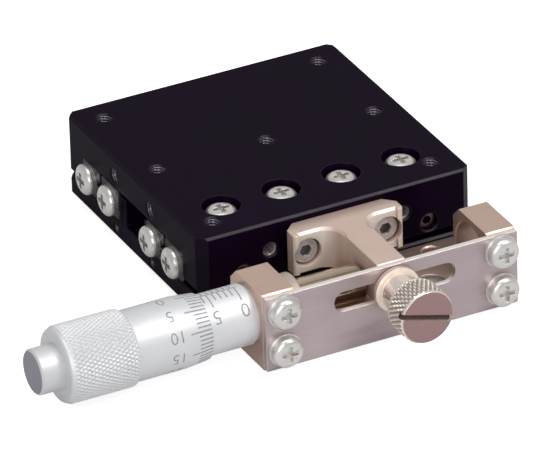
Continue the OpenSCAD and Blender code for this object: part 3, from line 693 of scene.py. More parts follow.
def dress_nodes(finish, *names):
    """Gives CAD nodes a finish in every material slot."""
    for name in names:
        materials = frame["nodes"][name].data.materials
        if not materials:
            materials.append(None)
        for place in range(len(materials)):
            materials[place] = finish_named(finish)


# ---- scale marks

# Heights of a mark's under and upper side over the surface, and its corners across
MARK_LOW, MARK_HIGH = -0.03, 0.012
CORNERS = np.array([-1, 1, 1, -1])


def section_heights(high):
    """Heights of a mark's four corners over the surface, in the order of CORNERS."""
    return np.array([MARK_LOW, MARK_LOW, high, high])


def closed_bars(points):
    """Bars from an array of bars by steps by four corners, closed at both ends."""
    count, steps = points.shape[:2]
    side = grid_faces(steps, 4, close_columns=True)
    caps = np.array([[3, 2, 1, 0], [(steps - 1) * 4 + k for k in range(4)]])
    faces = (np.arange(count) * steps * 4)[:, None, None] + np.concatenate([side, caps])
    return points.reshape(-1, 3), faces.reshape(-1, 4)


def bars(stations, angles, width, radius_at, high=MARK_HIGH):
    """Marks along the axis of a round surface.

    stations is bars by points along the axis. Each bar is a rectangle carried along its
    stations: width wide as an arc, from just under the surface to high over it.
    """
    radius = radius_at(stations)[..., None]
    height = section_heights(high) + radius
    return closed_bars(around_axis(np.broadcast_to(stations[..., None], height.shape), height,
                                   angles[:, None, None] + CORNERS * width / 2 / radius))


def arcs(places, starts, ends, width, radius):
    """Marks round the axis at fixed places: a rectangle carried from one angle to another."""
    steps = 7
    turn = starts[:, None] + (ends - starts)[:, None] * np.linspace(0, 1, steps)
    x = places[:, None, None] + CORNERS * width / 2
    shape = (len(places), steps, 4)
    return closed_bars(around_axis(
        np.broadcast_to(x, shape), np.broadcast_to(radius + section_heights(MARK_HIGH), shape),
        np.broadcast_to(turn[..., None], shape)))


# Digit height as a part of the font's size, half thickness, thinning, longest edge, and how
# far a digit's middle lies under the surface
FONT_HEIGHT, DIGIT_HALF, DIGIT_THIN, DIGIT_EDGE, DIGIT_SINK = 0.70, 0.02, -0.012, 0.34, 0.006


def digits_mesh(text, height):
    """The outline of some digits as a thin solid, in millimetres, centred on its middle."""
    curve = bpy.data.curves.new("digits", "FONT")
    curve.body = text
    curve.size = height / FONT_HEIGHT
    curve.extrude = DIGIT_HALF
    curve.offset = DIGIT_THIN * height
    curve.resolution_u = 3
    holder = linked("digits", curve)
    bpy.context.view_layer.update()
    mesh = bpy.data.meshes.new_from_object(holder)
    bpy.data.objects.remove(holder)
    work = bmesh.new()
    work.from_mesh(mesh)
    bpy.data.meshes.remove(mesh)
    bmesh.ops.remove_doubles(work, verts=work.verts, dist=1e-4)
    # long edges are split, so that the digits can follow the round surface
    for _ in range(4):
        bmesh.ops.triangulate(work, faces=work.faces)
        long_edges = [e for e in work.edges if e.calc_length() > DIGIT_EDGE]
        if not long_edges:
            break
        bmesh.ops.subdivide_edges(work, edges=long_edges, cuts=1)
    bmesh.ops.triangulate(work, faces=work.faces)
    work.verts.index_update()
    points = np.array([v.co for v in work.verts])
    faces = np.array([[v.index for v in f.verts] for f in work.faces])
    work.free()
    points[:, :2] -= (points[:, :2].min(0) + points[:, :2].max(0)) / 2
    return points, faces


def digits_on_round(text, height, place, turn, radius):
    """Digits wrapped on a round surface: x = place - u, angle = turn + v / r."""
    points, faces = digits_mesh(text, height)
    wrapped = around_axis(place - points[:, 0], radius + points[:, 2] - DIGIT_SINK,
                          turn + points[:, 1] / radius)
    return wrapped, faces


def make_marks(name, parts, body):
    """One painted piece from some marks and digits."""
    finish_piece(name, new_mesh(name, *join_parts(parts)), body, "scale_paint")


# ---- plates, brackets and screws

class STAGE_OT_anodised_plates(Operator):
    """Finishes the base plate and the table in black anodising"""

    bl_idname = "stage.anodised_plates"
    bl_label = "Anodised Plates"

    def execute(self, context):
        dress_nodes("black_anodised", "base_plate", "table_plate")
        return {"FINISHED"}


FREE_BORE_R, FREE_BORE_SHADE = 4.9, 0.7


def free_bore(x, y, z):
    """How much painted shade the bore of the right post takes."""
    return FREE_BORE_SHADE * ((np.hypot(y - AXIS_Y, z - AXIS_Z) < FREE_BORE_R) & (x > 0))


class STAGE_OT_nickel_brackets(Operator):
    """Rounds the edges of the micrometer bracket and the clamp plate and finishes them"""

    bl_idname = "stage.nickel_brackets"
    bl_label = "Nickel Brackets"

    def execute(self, context):
        rounded_copy("micrometer_bracket", "micrometer_bracket_finished", 0.2, "base",
                     "nickel_plate", free_bore)
        rounded_copy("clamp_plate", "clamp_plate_finished", 0.34, "base",
                     "nickel_front")
        return {"FINISHED"}


class STAGE_OT_screws(Operator):
    """Finishes the screws and the washers"""

    bl_idname = "stage.screws"
    bl_label = "Screws"

    def execute(self, context):
        dress_nodes("screw_steel", "base_end_screws", "table_end_screws", "table_top_screws",
                    "clamp_plate_screws", "clamp_plate_washers", "bracket_screws",
                    "inner_rail_screws", "rear_rail_screws")
        dress_nodes("lug_screw_steel", "lug_screws")
        dress_nodes("nickel_lug", "clamp_washer")
        dress_nodes("dark_steel", "preload_screws", "stem_set_screw")
        return {"FINISHED"}


class STAGE_OT_rails(Operator):
    """Finishes the rails, the rollers, the cages and the pins"""

    bl_idname = "stage.rails"
    bl_label = "Rails"

    def execute(self, context):
        dress_nodes("rail_steel", "inner_rail_rear", "inner_rail_front", "outer_rail_rear",
                    "outer_rail_front", "rollers_rear", "rollers_front", "base_spring_pin",
                    "table_spring_pin", "contact_pad", "spindle_ball")
        dress_nodes("cage_brass", "roller_cage_rear", "roller_cage_front")
        return {"FINISHED"}


# Radii of the wire, the coil, the hooks and the coil's ends, and the coil's turns; the gap
# between a hook and the coil, and half the angle that a hook goes round its pin, in degrees
WIRE_R, COIL_R, HOOK_R, COIL_END_R, COIL_TURNS = 0.25, 2.0, 1.4, 0.4, 15
HOOK_GAP, HOOK_HALF = 1.0, 150


class STAGE_OT_return_spring(Operator):
    """Builds the return spring between its two pins"""

    bl_idname = "stage.return_spring"
    bl_label = "Return Spring"

    def execute(self, context):
        pins = ("base_spring_pin", "table_spring_pin")
        first, last = [middle(node_box(name))[0] for name in pins]
        level = middle(node_box("return_spring"))[2]
        start, end = first + HOOK_R + HOOK_GAP, last - HOOK_R - HOOK_GAP
        # a hook round each pin, and a helix whose ends narrow to meet the hooks
        s = np.linspace(0, 1, COIL_TURNS * 24 + 1)
        turn = TAU * COIL_TURNS * s
        widen = np.minimum(smooth_step(s * COIL_TURNS, 0, 1),
                           smooth_step((1 - s) * COIL_TURNS, 0, 1))
        radius = COIL_END_R + (COIL_R - COIL_END_R) * widen
        helix = np.stack([start + (end - start) * s, radius * np.cos(turn), radius * np.sin(turn)],
                         axis=-1)
        a = np.radians(np.linspace(HOOK_HALF, -HOOK_HALF, 26))
        along, across = HOOK_R * np.cos(a), HOOK_R * np.sin(a)
        path = np.concatenate([np.stack([first - along, across, 0 * a], axis=-1), helix,
                               np.stack([last + along, -across, 0 * a], axis=-1)]) + [0, 0, level]
        points, faces = tube(path, WIRE_R, 10)
        piece = make_piece("return_spring_coil", points, faces, None,
                           "spring_steel", 60.0)
        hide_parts("return_spring")
        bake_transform(piece)
        return {"FINISHED"}


# ---- lug bracket

LUG_HALF, LUG_FILLET, RELIEF_X, RELIEF_D, RELIEF_C = 2.5, 3.0, 9.0, 0.5, 0.45
FLANGE_T, SEAT_D, FRONT_C, END_C, BACK_C = 4.2, 3.3, 0.3, 0.3, 1.8
FLANGE_FRONT = LUG_HIGH[1] - FLANGE_T
# Radii of the counterbore and of its screw's head, of the hole under it, of the clamp
# screw's hole at its mouth and inside, and of the pad's seat
SEAT_R, LUG_HEAD_R, THROUGH_R, TAP_MOUTH_R, TAP_R, PAD_SEAT_R = 2.5, 2.25, 1.45, 1.9, 1.55, 1.35


def lug_outline(top):
    """Half of the lug bracket's plan: the lug, its fillet, the relief and the flange.

    The upper outline has the relief and the fillet set back by the bevel.
    """
    back, half = LUG_HIGH[1], LUG_HIGH[0]
    relief = FLANGE_FRONT + RELIEF_D
    wide = LUG_FILLET + RELIEF_C
    t = np.linspace(-math.acos(LUG_FILLET / wide), math.pi / 2, 16)
    turn = np.stack([-np.cos(t), np.sin(t)], axis=-1)
    centre = np.array([LUG_HALF + LUG_FILLET, relief - LUG_FILLET])
    arc = centre + wide * turn
    if not top:
        straight = np.stack([0 * t + LUG_HALF, arc[:, 1]], axis=-1)
        arc = np.where(t[:, None] < 0, straight, centre + LUG_FILLET * turn)
    step = relief + (RELIEF_C if top else 0)
    lug = [[LUG_HALF, LUG_LOW[1] + (FRONT_C if top else 0)]]
    rest = [[RELIEF_X, step], [RELIEF_X, FLANGE_FRONT], [half - END_C, FLANGE_FRONT],
            [half, FLANGE_FRONT + END_C], [half, back - BACK_C], [half - BACK_C, back]]
    one = np.concatenate([lug, arc, rest])
    return np.concatenate([one, one[::-1] * [-1, 1]])


def lug_body():
    """The plan carried up in three levels, of which the last is set back by the bevels."""
    plan, top = lug_outline(False), lug_outline(True)
    count = len(plan)
    level = np.full(count, LUG_HIGH[2] - RELIEF_C)
    level[[0, -1]] = LUG_HIGH[2] - FRONT_C
    rings = np.concatenate([
        np.column_stack([plan, np.full(count, LUG_LOW[2])]), np.column_stack([plan, level]),
        np.column_stack([top, np.full(count, LUG_HIGH[2])])])
    caps = [list(range(count))[::-1], list(range(2 * count, 3 * count))]
    return rings, grid_faces(3, count, close_columns=True).tolist() + caps


def lug_holes(x, z):
    """The counterbored holes at both sides, the clamp screw's hole and the pad's seat."""
    seat = FLANGE_FRONT + SEAT_D
    bore = [[-6.0, SEAT_R], [0.0, SEAT_R], [0.0, THROUGH_R], [4.0, THROUGH_R]]
    tap = [[-2.0, TAP_MOUTH_R], [0.0, TAP_MOUTH_R], [0.35, TAP_R], [3.8, TAP_R]]
    pad = [[-2.0, PAD_SEAT_R], [1.2, PAD_SEAT_R]]
    return join_parts([revolved(bore, (-x, seat, z), (0, 1, 0)),
                       revolved(bore, (x, seat, z), (0, 1, 0)),
                       revolved(tap, (0, LUG_LOW[1], HEAD_Z), (0, 1, 0)),
                       revolved(pad, (-LUG_HALF, AXIS_Y, AXIS_Z), (1, 0, 0))])


class STAGE_OT_lug_bracket(Operator):
    """Builds the lug bracket with its fillets, bevelled reliefs and counterbores"""

    bl_idname = "stage.lug_bracket"
    bl_label = "Lug Bracket"

    def execute(self, context):
        screws = node_box("lug_screws")
        x, z = float(screws[1][0]) - LUG_HEAD_R, middle(screws)[2]
        body = new_mesh("lug_body", *lug_body())
        cutter = new_mesh("lug_cutter", *lug_holes(x, z))
        for mesh in (body, cutter):
            edit_mesh(mesh, weld(0.0015), turn_outwards)
        tool, holder = linked("lug_cutter", cutter), linked("lug_body", body)
        cut = holder.modifiers.new("cut", "BOOLEAN")
        cut.operation = "DIFFERENCE"
        cut.solver = "EXACT"
        cut.object = tool
        mesh = evaluated_mesh(holder)
        bpy.data.objects.remove(tool)
        if len(mesh.polygons) < 60:
            raise RuntimeError("the lug bracket's holes were not cut")
        mesh = rounded(mesh, 0.1, "lug_rounded")
        # the counterbores' walls are marked for painted shade
        wall = FLANGE_FRONT + RELIEF_D + 0.05
        mark_hollow(mesh, lambda px, py, pz:
                    (np.hypot(np.abs(px) - x, pz - z) < SEAT_R + 0.02) & (py > wall))
        piece = finish_piece("lug_bracket_finished", mesh, "table",
                             "nickel_lug", 24.0)
        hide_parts("lug_bracket")
        return {"FINISHED"}


# ---- threads

# Drilled radius and pitch of the holes' threads; a ridge's height as a part of the pitch
M3, M2 = (1.25, 0.5), (0.8, 0.35)
RIDGE = 0.34
# How far inside its hole a thread starts: in the table's top and front, and in the others
TABLE_MOUTH, OTHER_MOUTH = 0.35, 0.3


def threads(name, mouths, inward, size, depth, body, finish="thread_alloy"):
    """Internal threads for drilled holes.

    Each mouth is a point on a hole's axis where its thread starts and inward is the
    direction of the axis. The wall is r = R - ridge(s / pitch - turn), with s the depth
    and turn the angle as a part of a turn, and ridge a triangle wave; a second wall
    outside it closes the ring.
    """
    radius, pitch = size
    inward = np.asarray(inward, float)
    side = np.array([0.0, 0.0, 1.0]) if abs(inward[2]) < 0.5 else np.array([1.0, 0.0, 0.0])
    other = np.cross(inward, side)
    columns, fine = 40, 8
    s = np.linspace(0, depth, round(depth / pitch * fine) + 1)[:, None]
    turn = np.linspace(0, 1, columns, endpoint=False)[None]
    ridge = (1 - triangle_wave(s / pitch - turn)) * smooth_step(s, 0, pitch * 0.8)
    wall = radius - RIDGE * pitch * ridge - 0.004
    r = np.concatenate([wall, np.full_like(wall[:2], radius + 0.03)])
    s = np.concatenate([s, [[depth], [0.0]]])
    ring = (s[..., None] * inward + (r * np.cos(TAU * turn))[..., None] * side
            + (r * np.sin(TAU * turn))[..., None] * other)
    points = np.asarray(mouths, float)[:, None, None] + ring
    faces = grid_faces(len(s), columns, close_rows=True, close_columns=True)
    faces = (np.arange(len(mouths)) * ring[..., 0].size)[:, None, None] + faces
    make_piece(name, points, faces.reshape(-1, 4), body, finish, 50.0)


class STAGE_OT_threads(Operator):
    """Builds the threads in the open tapped holes of the table and the base"""

    bl_idname = "stage.threads"
    bl_label = "Threads"

    def execute(self, context):
        mounts = {m["name"]: m for m in frame["record"]["mounts"]}

        def place(name):
            """Half the spacing of a group of holes, and its middle in millimetres."""
            return mounts[name]["dims"]["spacing_x_mm"] / 2, np.array(mounts[name]["pos_m"]) / MM

        half, _ = place("table_corner_holes")
        top = TABLE_TOP - TABLE_MOUTH
        mouths = [(x, y, top) for x in (-half, half) for y in (-half, 0, half)] + [(0, 0, top)]
        threads("table_top_threads", mouths, (0, 0, -1), M3, 3.9, "table")
        half, at = place("table_front_holes")
        threads("table_front_threads", [(x, at[1] + TABLE_MOUTH, at[2]) for x in (-half, half)],
                (0, 1, 0), M3, 4.6, "table", "thread_painted_glint")
        for name, size, depth, body in (("table_left_holes", M3, 4.2, "table"),
                                        ("base_left_holes", M2, 2.4, "base")):
            half, at = place(name)
            threads(name.replace("holes", "threads"),
                    [(at[0] + OTHER_MOUTH, y, at[2]) for y in (-half, half)], (1, 0, 0), size,
                    depth, body)
        half, _ = place("base_corner_holes")
        mouths = [(x, y, OTHER_MOUTH) for x in (-half, half) for y in (-half, half)]
        threads("base_corner_threads", mouths, (0, 0, 1), M3, 2.8, "base")
        return {"FINISHED"}


# ---- micrometer

class STAGE_OT_micrometer(Operator):
    """Finishes the sleeve, the spindle and the end cap of the micrometer"""

    bl_idname = "stage.micrometer"
    bl_label = "Micrometer Body"

    def execute(self, context):
        dress_nodes("chrome_sleeve", "micrometer_sleeve")
        dress_nodes("chrome_cap", "thimble_cap")
        dress_nodes("spindle_steel", "spindle")
        return {"FINISHED"}


# Radii of the thimble at its edge, behind its bevel and of its bores; lengths along it
EDGE_R, BARREL_R, CAP_BORE_R, INNER_R, LIP_R = 5.52, 5.95, 2.05, 5.4, 5.42
BEVEL_LENGTH, GRIP_LENGTH, GRIP_END, GRIP_SHOULDER = 4.0, 12.2, 0.6, 0.12
# The drop of the grip's rims, and the places of two rings that part the plain barrel
RIM_DROP, BARREL_RINGS = 0.27, (-38.0, -42.0)


def thimble_radius(x):
    """Outer radius of the thimble between its edge and its grip: a cone, then a cylinder."""
    return np.interp(x, [THIMBLE_EDGE - BEVEL_LENGTH, THIMBLE_EDGE], [BARREL_R, EDGE_R])


class STAGE_OT_thimble(Operator):
    """Builds the thimble with its bevel and its diamond-knurled grip"""

    bl_idname = "stage.thimble"
    bl_label = "Thimble"

    def execute(self, context):
        sizes = context.scene.stage_micrometer
        edge, end = THIMBLE_EDGE, THIMBLE_END
        lead, depth = sizes.knurl_lead / MM, sizes.knurl_depth / MM
        fine = 10
        columns = sizes.knurl_count * fine
        turn = np.linspace(0, TAU, columns, endpoint=False)[None]
        grip, start = end + GRIP_LENGTH, end + GRIP_END
        steps = round((grip - GRIP_SHOULDER - start) / lead * fine)
        rows = np.arange(steps + 1) * lead / fine + start
        # outline as x, r: from the edge to the end, then back through the bore
        shoulder = GRIP_R - 0.3
        front = np.array([[edge, LIP_R], [edge, EDGE_R], [edge - 0.06, 5.526], [edge - 2.0, 5.735],
                          [edge - 3.94, 5.943], [edge - 4.1, BARREL_R],
                          *([x, BARREL_R] for x in BARREL_RINGS), [grip + GRIP_SHOULDER, BARREL_R],
                          [grip + 0.02, BARREL_R + 0.02], [grip, BARREL_R + 0.1],
                          [grip - 0.02, shoulder]])
        t = np.linspace(0, math.pi / 2, 7)
        back = np.stack([end + 0.55 * (1 - np.sin(t)), shoulder - 0.55 * (1 - np.cos(t))], axis=-1)
        hole = np.array([[end, 5.0], [end, 3.0], [end, CAP_BORE_R], [end + 2.2, CAP_BORE_R],
                         [end + 2.2, INNER_R]])
        x = np.concatenate([front[:, 0], rows[::-1], back[:, 0], hole[:, 0]])
        r = np.concatenate([front[:, 1], np.full(len(rows), GRIP_R), back[:, 1], hole[:, 1]])
        radius = over_columns(r, columns)
        block = slice(len(front), len(front) + len(rows))
        gx = x[block][:, None]
        cut = depth * (1 - diamond_knurl(turn * sizes.knurl_count / TAU, gx / lead))
        rim = np.maximum(1 - smooth_step(gx, start, start + 0.45),
                         smooth_step(gx, grip - 0.45, grip - GRIP_SHOULDER))
        # the grip is R - depth (1 - knurl), and no higher than R - drop at its two rims
        radius[block] = np.minimum(GRIP_R - cut, GRIP_R - RIM_DROP * rim)
        # the knurl's grooves are marked for painted shade
        cavity = np.zeros_like(radius)
        cavity[block] = cut / depth * (1 - rim)
        points = around_axis(over_columns(x, columns), radius, turn)
        faces = grid_faces(len(x), columns, close_rows=True, close_columns=True)
        piece = make_piece("thimble_shell", points, faces, "thimble",
                           "satin_chrome", 28.0, cavity)
        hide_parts("thimble")
        return {"FINISHED"}


# The thimble's lines: their number round it, their lengths and their start from the edge;
# its digits: their size, their place from the edge and their turn off the line in degrees
LINES_ROUND, LONG_LINE, SHORT_LINE, LINE_START = 50, 3.85, 2.4, 0.1
THIMBLE_DIGIT, DIGIT_BACK, DIGIT_TURN = 2.0, 6.45, 0.5


class STAGE_OT_thimble_scale(Operator):
    """Builds the fifty lines and the digits of the thimble"""

    bl_idname = "stage.thimble_scale"
    bl_label = "Thimble Scale"

    def execute(self, context):
        sizes = context.scene.stage_micrometer
        k = np.arange(LINES_ROUND)
        angles = sizes.fiducial_angle + np.radians(360 / LINES_ROUND) * k
        lengths = np.where(k % 5 == 0, LONG_LINE, SHORT_LINE)
        stations = THIMBLE_EDGE - LINE_START - lengths[:, None] * np.linspace(0, 1, 8)
        parts = [bars(stations, angles, sizes.line_width / MM, thimble_radius)]
        for number in range(0, LINES_ROUND, 5):
            parts.append(digits_on_round(str(number), THIMBLE_DIGIT, THIMBLE_EDGE - DIGIT_BACK,
                                         float(angles[number]) - math.radians(DIGIT_TURN), BARREL_R))
        make_marks("thimble_scale", parts, "thimble")
        return {"FINISHED"}


# What the scale reads at rest, its last line, and the angles that its lines and digits reach
READING, LAST_LINE = 6.5, 13
LONG_ARC, SHORT_ARC, HALF_ARC, DIGIT_ANGLE = 36.0, 22.0, 21.0, 51.0


class STAGE_OT_sleeve_scale(Operator):
    """Builds the lines and the digits of the sleeve"""

    bl_idname = "stage.sleeve_scale"
    bl_label = "Sleeve Scale"

    def execute(self, context):
        sizes = context.scene.stage_micrometer
        zero = THIMBLE_EDGE + READING
        line = sizes.fiducial_angle
        width = sizes.line_width / MM
        k = np.arange(LAST_LINE + 1)
        ends = line + np.radians(np.where(k % 5 == 0, LONG_ARC, SHORT_ARC))
        halves = np.full(LAST_LINE, line)
        parts = [
            arcs(zero - k, np.full(LAST_LINE + 1, line), ends, width, SLEEVE_R),
            arcs(zero - k[:-1] - 0.5, halves - math.radians(HALF_ARC), halves, width, SLEEVE_R),
            bars(np.linspace(zero + 0.5, zero - LAST_LINE - 0.6, 6)[None], np.array([line]), width,
                 lambda x: np.full_like(x, SLEEVE_R), MARK_HIGH + 0.001),
        ]
        for number in (0, 5, 10):
            parts.append(digits_on_round(str(number), sizes.digit_height / MM, zero - number,
                                         math.radians(DIGIT_ANGLE), SLEEVE_R))
        make_marks("sleeve_scale", parts, "base")
        return {"FINISHED"}


# ---- clamp screw

# The head's length, the radii of the neck and the thread, the slope of the knurl in degrees,
# the drop of the head's rims and the flat part of the knurl's tips
HEAD_LENGTH, NECK_R, THREAD_R, KNURL_SLOPE, HEAD_RIM_DROP, TIP_FLAT = 5.3, 3.3, 1.5, 31, 0.22, 0.12


class STAGE_OT_thumbscrew(Operator):
    """Builds the clamp screw with its diamond-knurled, slotted head"""

    bl_idname = "stage.thumbscrew"
    bl_label = "Thumbscrew"

    def execute(self, context):
        sizes = context.scene.stage_clamp
        count, depth = sizes.knurl_count, sizes.knurl_depth / MM
        slot, deep = sizes.slot_width / MM / 2, sizes.slot_depth / MM
        lead = TAU * HEAD_R / count / math.tan(math.radians(KNURL_SLOPE))
        front, back, tip = HEAD_FRONT, HEAD_FRONT + HEAD_LENGTH, SCREW_TIP
        neck = WASHER_FRONT - 0.05
        fine = 12
        rows = np.arange(round((HEAD_LENGTH - 0.6) / lead * fine) + 1) * lead / fine + front + 0.3
        # outline as y, r: from the middle of the end face to the tip of the thread
        face = np.array([[front + deep, slot], [front, slot], [front, 1.6], [front, 3.0],
                         [front, HEAD_R - 0.5], [front + 0.03, HEAD_R - 0.36],
                         [front + 0.15, HEAD_R - 0.26]])
        rear = np.array([[back - 0.12, HEAD_R - 0.3], [back - 0.03, HEAD_R - 0.45],
                         [back, HEAD_R - 0.6], [back, NECK_R + 0.3], [back + 0.12, NECK_R],
                         [neck - 0.2, NECK_R], [neck, NECK_R - 0.2], [neck, THREAD_R],
                         [tip - 0.3, THREAD_R], [tip, THREAD_R - 0.3], [tip, 0.001]])
        y = np.concatenate([face[:, 0], rows, rear[:, 0]])
        r = np.concatenate([face[:, 1], np.full(len(rows), HEAD_R), rear[:, 1]])
        # columns gather at the slot's edges, so that its walls are straight
        s = np.linspace(0, 1, count * fine // 4 + 1)
        narrow = 6
        edge = np.arcsin(np.clip(slot / np.maximum(r, slot), 0, 1))[:, None]
        quarter = np.concatenate([edge * np.linspace(0, 1, narrow)[None],
                                  edge + (math.pi / 2 - edge) * s[None]], axis=1)
        half = np.concatenate([quarter, math.pi - quarter[:, ::-1][:, 1:]], axis=1)
        turn = np.concatenate([half, math.pi + half[:, 1:-1]], axis=1)
        in_slot = np.concatenate([np.ones(narrow), np.zeros(len(s))])
        in_slot = np.concatenate([in_slot, in_slot[::-1][1:]])
        in_slot = np.concatenate([in_slot, in_slot[1:-1]])[None] > 0
        radius = over_columns(r, turn.shape[1])
        block = slice(len(face), len(face) + len(rows))
        gy = y[block][:, None]
        cut = depth * (1 - diamond_knurl(turn[block] * count / TAU, gy / lead, TIP_FLAT))
        ends = np.minimum(smooth_step(gy, front + 0.2, front + 0.7),
                          1 - smooth_step(gy, back - 0.7, back - 0.25))
        # the head is R - depth (1 - knurl), which runs out at both ends into a rim at R - drop
        radius[block] = HEAD_R - np.maximum(cut * ends, HEAD_RIM_DROP * (1 - ends))
        # the grooves, the slot and the middle of the end are marked for painted shade
        cavity = np.zeros_like(radius)
        cavity[block] = cut / depth * ends
        place = over_columns(y, turn.shape[1])
        cavity[in_slot & (place < front + deep)] = 1.0
        cavity[0] = 1.0
        place = np.where(in_slot, np.maximum(place, front + deep), place)
        turn = turn + sizes.slot_turn
        points = np.stack([radius * np.cos(turn), place, HEAD_Z + radius * np.sin(turn)], axis=-1)
        centre = np.broadcast_to(np.array([0.0, front + deep, HEAD_Z]), (1, turn.shape[1], 3))
        points = np.concatenate([centre, points])
        cavity = np.concatenate([np.ones_like(cavity[:1]), cavity])
        faces = grid_faces(len(points), turn.shape[1], close_columns=True)
        piece = make_piece("clamp_screw_knurled", points, faces, "clamp_screw",
                           "nickel_knurl", 28.0, cavity)
        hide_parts("clamp_thumbscrew")
        return {"FINISHED"}


# ---- studio

# Half side of the floor in metres; middle and half size in millimetres of the part of it
# that lies under the stage, where the camera sees no glow; the glow's strength elsewhere
FLOOR_SIDE, UNDER_MIDDLE, UNDER_HALF, FLOOR_GLOW = 4.0, (0, -10.5, 0), (22.0, 34.0), 0.75
# Height of the floor, in millimetres: just clear of the base
FLOOR_Z = -0.02
# Places and sizes of the lamps, in metres
LAMP_TARGET = (-0.005, -0.02, 0.008)
LAMPS = {
    "key": ((0.37, -0.50, 0.78), 0.32),
    "front": ((-0.45, -0.75, 0.35), 0.5),
    "top": ((-0.05, -0.1, 0.8), 0.45),
    "back": ((0.36, 0.72, 0.5), 0.5),
}
# The camera's turn, rise and roll in degrees, its distance in metres, the height in
# millimetres of the point that it stands off from, how far it aims beside that point in
# millimetres to its right and up, and its lens
TURN, RISE, ROLL, DISTANCE, POINT_Z = -26.16, 28.96, -1.71, 1.3, 14.24
AIM_RIGHT, AIM_UP, LENS = 0.545, -13.73, 525.1


def make_floor(tone):
    """A soft pale plane that only the camera sees a little brighter."""
    material, nodes, sockets = new_finish("pale_floor", tuple(tone), 0.0, 0.9, 0.1)
    seen = nodes.add("LightPath").outputs["Is Camera Ray"]
    place = nodes.add("TexCoord").outputs["Object"]
    off = nodes.vector("SUBTRACT", place, tuple(v * MM for v in UNDER_MIDDLE))
    parts = nodes.parts(nodes.vector("ABSOLUTE", off))
    beside, before = [nodes.calc("GREATER_THAN", parts[k], UNDER_HALF[k] * MM) for k in (0, 1)]
    outside = nodes.calc("MAXIMUM", beside, before)
    glow = nodes.calc("MULTIPLY", nodes.calc("MULTIPLY", seen, outside), FLOOR_GLOW)
    sockets["Emission Color"].default_value = (1, 1, 1, 1)
    nodes.link(glow, sockets["Emission Strength"])
    grain = nodes.noise(nodes.coords(), 40.0, 3.0)
    nodes.link(nodes.bump(grain, 0.02, 0.2), sockets["Normal"])
    side = FLOOR_SIDE / MM
    corners = [(x * side, y * side, FLOOR_Z) for x, y in ((-1, -1), (1, -1), (1, 1), (-1, 1))]
    mesh = new_mesh("floor", corners, [(0, 1, 2, 3)])
    mesh.materials.append(material)
    floor = linked("floor", mesh)


def make_world(scene):
    """Even light from all sides, and plain white where the camera sees past the floor."""
    scene.world = bpy.data.worlds.new("studio_world")
    nodes = Shading(scene.world)
    seen = nodes.add("LightPath").outputs["Is Camera Ray"]
    room, white = [nodes.add("Background", {"Color": (1, 1, 1, 1), "Strength": strength}).outputs[0]
                   for strength in (scene.stage_studio.room, 1.0)]
    mixed = nodes.add("MixShader", {0: seen, 1: room, 2: white})
    nodes.add("OutputWorld", {"Surface": mixed.outputs[0]})


def area_lamp(name, place, size, watts):
    """A square white lamp that looks at the stage."""
    lamp = bpy.data.lights.new(name, "AREA")
    lamp.shape = "SQUARE"
    lamp.size = size
    lamp.energy = watts
    holder = linked(name, lamp)
    holder.location = place
    look = Vector(LAMP_TARGET) - Vector(place)
    holder.rotation_euler = look.to_track_quat("-Z", "Y").to_euler()


def make_camera(scene):
    """A long lens to the left of the front and above it."""
    turn, rise, roll = math.radians(TURN), math.radians(RISE), math.radians(ROLL)
    away = Vector((math.sin(turn) * math.cos(rise), -math.cos(turn) * math.cos(rise),
                   math.sin(rise)))
    right = Vector((math.cos(turn), math.sin(turn), 0))
    up = away.cross(right)
    right, up = (math.cos(roll) * right + math.sin(roll) * up,
                 -math.sin(roll) * right + math.cos(roll) * up)
    centre = Vector((0, 0, POINT_Z * MM))
    place = centre + DISTANCE * away
    aim = centre + (AIM_RIGHT * right + AIM_UP * up) * MM
    back = (place - aim).normalized()
    side = up.cross(back).normalized()
    turned = Matrix((side, back.cross(side), back)).transposed().to_4x4()
    turned.translation = place
    lens = bpy.data.cameras.new("camera")
    lens.lens = LENS
    lens.sensor_width = 36.0
    lens.sensor_fit = "HORIZONTAL"
    lens.clip_start = 0.05
    lens.clip_end = 20.0
    scene.camera = linked("camera", lens)
    scene.camera.matrix_world = turned


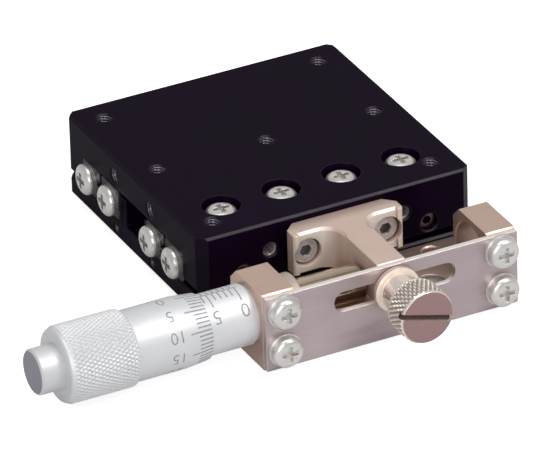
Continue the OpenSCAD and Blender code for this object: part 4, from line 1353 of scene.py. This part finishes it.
class STAGE_OT_studio(Operator):
    """Builds the floor, the lamps, the world and the camera"""

    bl_idname = "stage.studio"
    bl_label = "Studio"

    def execute(self, context):
        scene = context.scene
        make_floor(scene.stage_finishes.floor)
        make_world(scene)
        for name, (place, size) in LAMPS.items():
            area_lamp(f"{name}_lamp", place, size, getattr(scene.stage_studio, name))
        make_camera(scene)
        scene.view_settings.view_transform = "Standard"
        return {"FINISHED"}


# ---- panel and registration

STEPS = (STAGE_OT_anodised_plates, STAGE_OT_nickel_brackets, STAGE_OT_lug_bracket,
         STAGE_OT_screws, STAGE_OT_rails, STAGE_OT_return_spring, STAGE_OT_threads,
         STAGE_OT_micrometer, STAGE_OT_thimble, STAGE_OT_thimble_scale, STAGE_OT_sleeve_scale,
         STAGE_OT_thumbscrew, STAGE_OT_studio)

GROUPS = (("stage_micrometer", MicrometerSettings), ("stage_clamp", ClampSettings),
          ("stage_finishes", FinishSettings), ("stage_studio", StudioSettings))


class STAGE_PT_builder(Panel):
    """Lists the settings and the pieces of the stage"""

    bl_idname = "STAGE_PT_builder"
    bl_label = "Linear Stage"
    bl_space_type = "VIEW_3D"
    bl_region_type = "UI"
    bl_category = "Stage"

    def draw(self, context):
        layout = self.layout
        for name, _ in GROUPS:
            group = getattr(context.scene, name)
            box = layout.box()
            for setting in group.__annotations__:
                box.prop(group, setting)
        for step in STEPS:
            layout.operator(step.bl_idname)


def register():
    for name, group in GROUPS:
        bpy.utils.register_class(group)
        setattr(bpy.types.Scene, name, PointerProperty(type=group))
    for step in STEPS:
        bpy.utils.register_class(step)
    bpy.utils.register_class(STAGE_PT_builder)


def unregister():
    bpy.utils.unregister_class(STAGE_PT_builder)
    for step in reversed(STEPS):
        bpy.utils.unregister_class(step)
    for name, group in reversed(GROUPS):
        delattr(bpy.types.Scene, name)
        bpy.utils.unregister_class(group)


def main():
    register()
    for step in STEPS:
        getattr(bpy.ops.stage, step.bl_idname.split(".")[1])()


if __name__ == "__main__":
    main()
